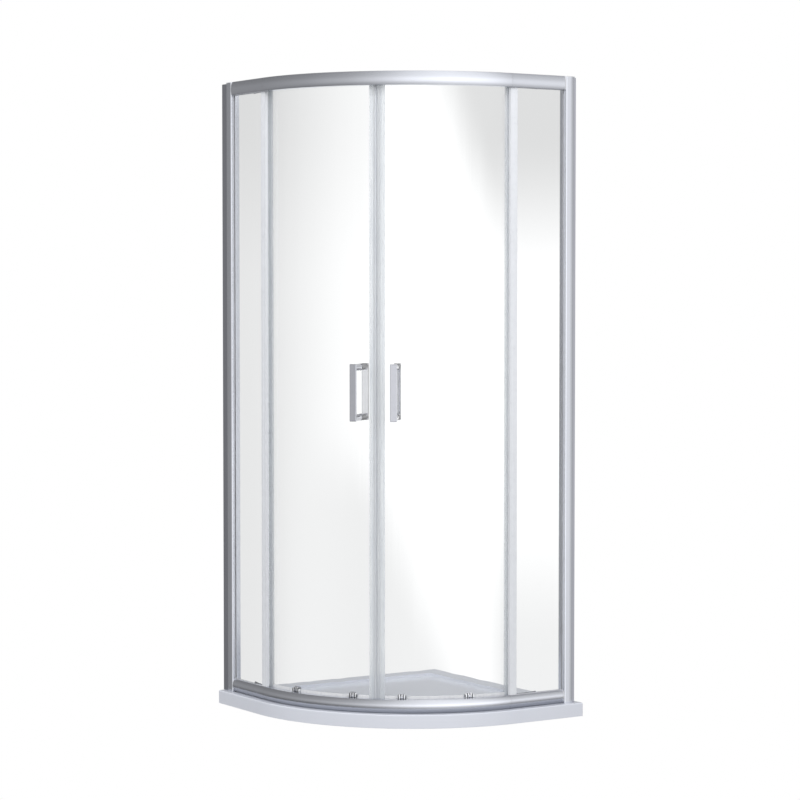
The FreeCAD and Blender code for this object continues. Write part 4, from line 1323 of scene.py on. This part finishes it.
@dataclass
class Uprights:
    """Posts, caps, wall channels, fixed panes, their gaskets and stiles."""

    tree: Grower
    edge: float = 0.0004
    glass_edge: float = 0.0008
    face: float = 0.533
    round_from: float = 0.042
    round_to: float = 0.022
    face_radius: float = 0.056
    face_depth: float = 0.0045
    strips: int = 9
    screw_shank: float = 1.9
    screw_head: float = 3.3
    head_height: float = 2.0
    recess: float = 1.4
    recess_depth: float = 1.2
    nut_height: float = 2.4
    nut_ease: float = 0.2

    def _bulged(self, node: str) -> bpy.types.Mesh:
        """A post, or the posts' caps, with the outer face rounded towards the wall.

        Args:
            node: the node.

        Returns:
            The mesh.
        """
        mesh = Softened(node, 0.0).mesh()
        form = form_of(mesh)
        width = (self.round_from - self.round_to) / self.strips
        for index in range(1, self.strips + 1):
            cut = self.round_to + width * index
            for place, across in (
                ((0, CORNER - cut, 0), (0, 1, 0)),
                ((cut - CORNER, 0, 0), (1, 0, 0)),
            ):
                geometry = [*form.verts, *form.edges, *form.faces]
                bmesh.ops.bisect_plane(
                    form, geom=geometry, plane_co=place, plane_no=across, dist=1e-6
                )
        for corner in form.verts:
            self._set_back(corner)
        return settled(form, mesh)

    def _set_back(self, corner: bmesh.types.BMVert) -> None:
        """Moves a corner of the outer face in to the face's curve.

        Args:
            corner: a corner of the mesh; off the outer face it stays where it is.
        """
        spot = corner.co
        right = spot.x - BEND.x > self.face - self.face_depth
        left = BEND.y - spot.y > self.face - self.face_depth
        if not (right or left):
            return
        from_wall = CORNER - spot.y if right else spot.x + CORNER
        reach = min(max(self.round_from - from_wall, 0.0), self.round_from - self.round_to)
        sag = self.face_radius - math.sqrt(self.face_radius**2 - reach**2)
        if right:
            spot.x -= sag
        else:
            spot.y += sag

    def _screw(self, length: float) -> bpy.types.Mesh:
        """A button-headed screw about its own middle, with its head at the top.

        Args:
            length: from the shank's end to the top of the head, in millimetres.

        Returns:
            The mesh.
        """
        top = length / 2
        shank, head, recess = self.screw_shank, self.screw_head, self.recess
        profile = [
            (0, -top), (1.5, -top), (shank, 0.4 - top), (shank, top - self.head_height),
            (head, top - self.head_height), (head, top - 1.1), (3.1, top - 0.55),
            (2.7, top - 0.2), (2.1, top), (1.5, top), (recess, top - 0.1),
            (recess, top - self.recess_depth), (0, top - self.recess_depth),
        ]
        return lathe("turned_screw", profile)

    def _nut(self) -> bpy.types.Mesh:
        """A plain round nut about its own middle.

        Returns:
            The mesh.
        """
        top, bore, rim, ease = self.nut_height / 2, self.screw_shank, self.screw_head, self.nut_ease
        profile = [
            (bore, -top), (rim - ease, -top), (rim, ease - top), (rim, top - ease),
            (rim - ease, top), (bore, top), (bore, -top),
        ]
        return lathe("turned_nut", profile)

    def _set_on(self, name: str, turned: bpy.types.Mesh, boxes: list) -> bpy.types.Mesh:
        """Sets one turned form at each solid's middle, by Geometry Nodes.

        Args:
            name: the mesh's name.
            turned: the form, whose head is at its top.
            boxes: the solids' boxes.

        Returns:
            The mesh.
        """
        form = linked(turned.name, turned)
        spots = [(low + high) / 2 for low, high in boxes]
        ways = [(-1, 0, 0) if spot.x > 0 else (0, 1, 0) for spot in spots]
        points = bpy.data.meshes.new("spots")
        points.from_pydata(spots, [], [])
        way = points.attributes.new("way", "FLOAT_VECTOR", "POINT")
        way.data.foreach_set("vector", [part for direction in ways for part in direction])
        mesh = self.tree.grow(name, points, Fastener=form, Finish="steel")
        bpy.data.objects.remove(form)
        return mesh

    def _lock_screws(self) -> None:
        """Adds the screws that lock the posts to the wall channels, and their nuts."""
        node = "lock_screws"
        screws, nuts = [], []
        for low, high in Softened(node, 0.0).solids():
            length = 1000 * ((high - low).x if low.x > 0 else (high - low).y)
            if length > 2 * self.nut_height:
                screws.append((low, high, length))
            else:
                nuts.append((low, high))
        length = screws[0][2]
        rows = [
            self._set_on("lock_screw_row", self._screw(length), [box[:2] for box in screws]),
            self._set_on("lock_nut_row", self._nut(), nuts),
        ]
        Piece(node, joined(node, rows)).add()

    def build(self) -> None:
        """Adds every upright."""
        for node in ("rail_end_caps", "glazing_gaskets", "door_stops", "rail_screws"):
            Softened(node, self.edge).add()
        for node in ("right_post", "left_post", "post_caps"):
            Piece(node, self._bulged(node)).add()
        for side in Side:
            Softened(side.node("wall_channel"), self.edge).add("dull")
            Softened(side.node("fixed_stile"), self.edge).add("coated")
            Softened(side.node("fixed_glass"), self.glass_edge).add()
        self._lock_screws()


# --- doors ---


@dataclass
class Door:
    """One sliding door: curved glass, strips, seal, handles and rollers."""

    side: Side
    tree: Grower
    glass_edge: float = 0.0007
    strip_edge: float = 0.0003
    small_edge: float = 0.0002
    facing: float = 0.95
    spring_wire: float = 0.00025
    spring_turns: float = 5.0
    spring_sharp: float = 60.0

    def _glass(self) -> None:
        """The curved pane with polished edges and exact outward normals on its faces."""
        mesh = Softened(self.side.node("door_glass"), self.glass_edge).add().data
        normals = [loop.normal.copy() for loop in mesh.loops]
        for polygon in mesh.polygons:
            facing = polygon.normal.dot(BEND.away(polygon.center))
            if abs(facing) < self.facing:
                continue
            for index in polygon.loop_indices:
                away = BEND.away(mesh.vertices[mesh.loops[index].vertex_index].co)
                normals[index] = away if facing > 0 else -away
        mesh.normals_split_custom_set(normals)

    def _spring(self, node: str) -> None:
        """Winds one release spring to its node's box.

        Args:
            node: the node.
        """
        low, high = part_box(node)
        size = high - low
        wire = self.spring_wire
        mesh = self.tree.grow(
            node,
            bpy.data.meshes.new("seed"),
            Radius=min(size.x, size.y) / 2 - wire,
            Wire=wire,
            Length=size.z - 2 * wire,
            Turns=self.spring_turns,
            Finish="steel",
        )
        middle = (low + high) / 2
        mesh.transform(Matrix.Translation((middle.x, middle.y, low.z + wire)))
        Piece(node, mesh, sharp=self.spring_sharp).add()

    def build(self) -> None:
        """Adds the door's pieces."""
        self._glass()
        for edge, finish, names in (
            (self.strip_edge, None, ("magnet_strip", "rear_strip", "magnet")),
            (self.strip_edge, "milky", ("bottom_seal",)),
            (0.0, None, ("outer_handle",)),
            (0.0, "bright", ("inner_handle",)),
            (self.small_edge, "slotted", ("roller_housings",)),
            (self.small_edge, None, ("top_axles", "cap_nuts", "housing_screws", "glass_bushes")),
            (0.0, None, ("handle_studs",)),
        ):
            for name in names:
                Softened(self.side.node(name), edge).add(finish)
        for place in Place:
            for name in ("top_wheel", "bottom_wheel", "slider"):
                Softened(self.side.node(f"{place.value}_{name}"), self.small_edge).add()
            self._spring(self.side.node(f"{place.value}_spring"))


# --- studio ---


@dataclass(frozen=True)
class Ramp:
    """A soft step between two slopes, measured across or up from the camera's own line."""

    start: float
    end: float
    lean: float = 0.0
    upwards: bool = False

    def shade(self, across: Wire, rise: Wire) -> Wire:
        """The step's value for a direction.

        Args:
            across: the direction's slope to the right.
            rise: its slope upwards.

        Returns:
            A value from 0 to 1.
        """
        slope = rise if self.upwards else across + rise * self.lean
        return slope.eased(self.start, self.end)


@dataclass(frozen=True)
class Veil:
    """A soft grey patch behind the glass: the product of some ramps."""

    depth: float
    ramps: tuple[Ramp, ...]

    def shade(self, across: Wire, rise: Wire) -> Wire:
        """How much light the patch takes away in a direction.

        Args:
            across: the direction's slope to the right.
            rise: its slope upwards.

        Returns:
            The light.
        """
        patch = self.depth
        for ramp in self.ramps:
            patch = patch * ramp.shade(across, rise)
        return patch


@dataclass(frozen=True)
class Lamp:
    """A square area lamp that faces the enclosure and shows in no mirror or pane."""

    name: str
    place: Triple
    watts: float
    size: float = 2.6
    aim: Triple = (0, 0, 0.9)

    def add(self) -> None:
        """Puts the lamp in the scene."""
        data = bpy.data.lights.new(self.name, "AREA")
        data.energy = self.watts
        data.size = self.size
        lamp = linked(self.name, data)
        lamp.location = self.place
        lamp.visible_glossy = False
        lamp.visible_transmission = False
        turned_to(lamp, Vector(self.aim) - Vector(self.place))


@dataclass(frozen=True)
class Studio:
    """Pale floor, even background, soft lamps and the photograph's camera.

    Attributes:
        round_glow: (share of a turn, brightness) pairs of what metal mirrors round the studio.
        upright_glow: (height, share) pairs of what metal mirrors, from straight down to up.
    """

    camera_place: Triple = (6.3825, -4.1014, 1.2704)
    camera_heading: float = 57.23
    camera_dip: float = 2.504
    lens: float = 113.3
    sensor: float = 36.0
    floor_size: float = 30.0
    floor_light: float = 0.42
    world_light: float = 0.80
    backlight: float = 1.12
    veils: tuple[Veil, ...] = (
        Veil(0.25, (Ramp(-0.004, -0.0675),)),
        Veil(0.10, (Ramp(-0.004, -0.012), Ramp(-0.004, 0.0754, upwards=True))),
        Veil(
            0.22,
            (
                Ramp(-0.0301, -0.0561, lean=0.433),
                Ramp(-0.0516, -0.006),
                Ramp(-0.045, -0.09, upwards=True),
            ),
        ),
        Veil(0.37, (Ramp(0.0345, 0.0575, lean=0.33), Ramp(-0.006, 0.062, upwards=True))),
        Veil(0.21, (Ramp(0.032, 0.046), Ramp(-0.0755, -0.143, upwards=True))),
    )
    round_glow: tuple = (
        (0.00, 0.30), (0.09, 0.33), (0.20, 0.42), (0.29, 0.62), (0.34, 0.86), (0.40, 1.32),
        (0.47, 1.65), (0.55, 1.50), (0.60, 1.02), (0.65, 0.62), (0.71, 0.34), (1.00, 0.30),
    )
    brightest: float = 2.0
    upright_glow: tuple = (
        (0.00, 0.40), (0.28, 0.48), (0.37, 0.66), (0.43, 0.95), (0.56, 1.0), (0.65, 0.78),
        (1.00, 0.66),
    )
    lamps: tuple[Lamp, ...] = (
        Lamp("key_lamp", (3.2, -1.6, 3.4), 90.0),
        Lamp("fill_lamp", (-1.2, -3.6, 2.8), 25.0),
    )

    def build(self) -> None:
        """Makes the whole studio."""
        self._camera()
        self._floor()
        self._world()
        for lamp in self.lamps:
            lamp.add()

    def _camera(self) -> None:
        """Camera at the photograph's place."""
        data = bpy.data.cameras.new("view")
        data.lens = self.lens
        data.sensor_width = self.sensor
        camera = linked("view", data)
        camera.location = self.camera_place
        turn = math.radians(self.camera_heading)
        dip = math.radians(self.camera_dip)
        level = math.cos(dip)
        ahead = (-math.sin(turn) * level, math.cos(turn) * level, -math.sin(dip))
        turned_to(camera, Vector(ahead))
        bpy.context.scene.camera = camera

    def _seen_through(self, way: Wire) -> Wire:
        """Brightness of what lies behind the glass.

        Args:
            way: the ray's direction.

        Returns:
            The brightness.
        """
        x, y, z = way.shader.axes(way)
        turn = math.radians(self.camera_heading)
        across = x * math.cos(turn) + y * math.sin(turn)
        light = self.backlight
        for veil in self.veils:
            light = light - veil.shade(across, z)
        return light

    def _mirrored(self, way: Wire) -> Wire:
        """Brightness of the studio as polished and satin metal mirror it.

        Args:
            way: the mirrored direction.

        Returns:
            The brightness.
        """
        shader = way.shader
        x, y, z = shader.axes(way)
        round_way = y.turn_from(x) / (2 * math.pi) + 0.5
        sideways = shader.greys(self.round_glow, self.brightest, round_way)
        return sideways * shader.greys(self.upright_glow, 1.0, z * 0.5 + 0.5)

    def _light(self, way: Wire, diffuse: float) -> Wire:
        """What each kind of ray sees.

        Args:
            way: the ray's direction.
            diffuse: brightness for rays that light matt surfaces.

        Returns:
            The brightness.
        """
        shader = way.shader
        camera = shader.node("ShaderNodeLightPath", output="Is Camera Ray")
        through = shader.other(camera, "Is Transmission Ray")
        glossy = shader.other(camera, "Is Glossy Ray") * (1.0 - through)
        rest = (1.0 - camera - glossy - through).at_least(0.0)
        seen = camera + through * self._seen_through(way)
        return seen + glossy * self._mirrored(way) + rest * diffuse

    def _floor(self) -> None:
        """Plain pale floor, as even as the background."""
        half = self.floor_size / 2
        corners = [(-half, -half, 0), (half, -half, 0), (half, half, 0), (-half, half, 0)]
        mesh = bpy.data.meshes.new("floor")
        mesh.from_pydata(corners, [], [(0, 1, 2, 3)])
        material = bpy.data.materials.new("studio_floor")
        material.use_nodes = True
        shader = Shader(material.node_tree)
        incoming = shader.node("ShaderNodeNewGeometry", output="Incoming")
        back = {0: incoming, "Scale": -1.0}
        way = shader.node("ShaderNodeVectorMath", {"operation": "SCALE"}, back)
        strength = self._light(way, self.floor_light)
        shader.end(shader.node("ShaderNodeEmission", sockets={"Strength": strength}))
        mesh.materials.append(material)
        linked("floor", mesh)

    def _world(self) -> None:
        """White to the eye; softer for light, and darker to the left in mirrored directions."""
        world = bpy.data.worlds.new("studio")
        bpy.context.scene.world = world
        world.use_nodes = True
        shader = Shader(world.node_tree)
        way = shader.node("ShaderNodeTexCoord", output="Generated")
        sockets = {"Color": rgb(1, 1, 1), "Strength": self._light(way, self.world_light)}
        back = shader.node("ShaderNodeBackground", sockets=sockets)
        shader.end(back, "ShaderNodeOutputWorld")


def main() -> None:
    """Builds everything in order."""
    logging.basicConfig(level=logging.INFO)
    bpy.context.scene.view_settings.view_transform = "Standard"
    Studio().build()
    for node, edge in (("shower_tray", 0.0008), ("waste_cover", 0.0004)):
        Softened(node, edge).add()
    sweep = sweeper()
    Rail(RailKind.BOTTOM, (0.521, 0.533, 0.526), sweep).build()
    Rail(RailKind.TOP, (0.529, 0.5335, 0.531), sweep).build()
    Uprights(fastener()).build()
    coil = coiler()
    for side in Side:
        Door(side, coil).build()


if __name__ == "__main__":
    main()
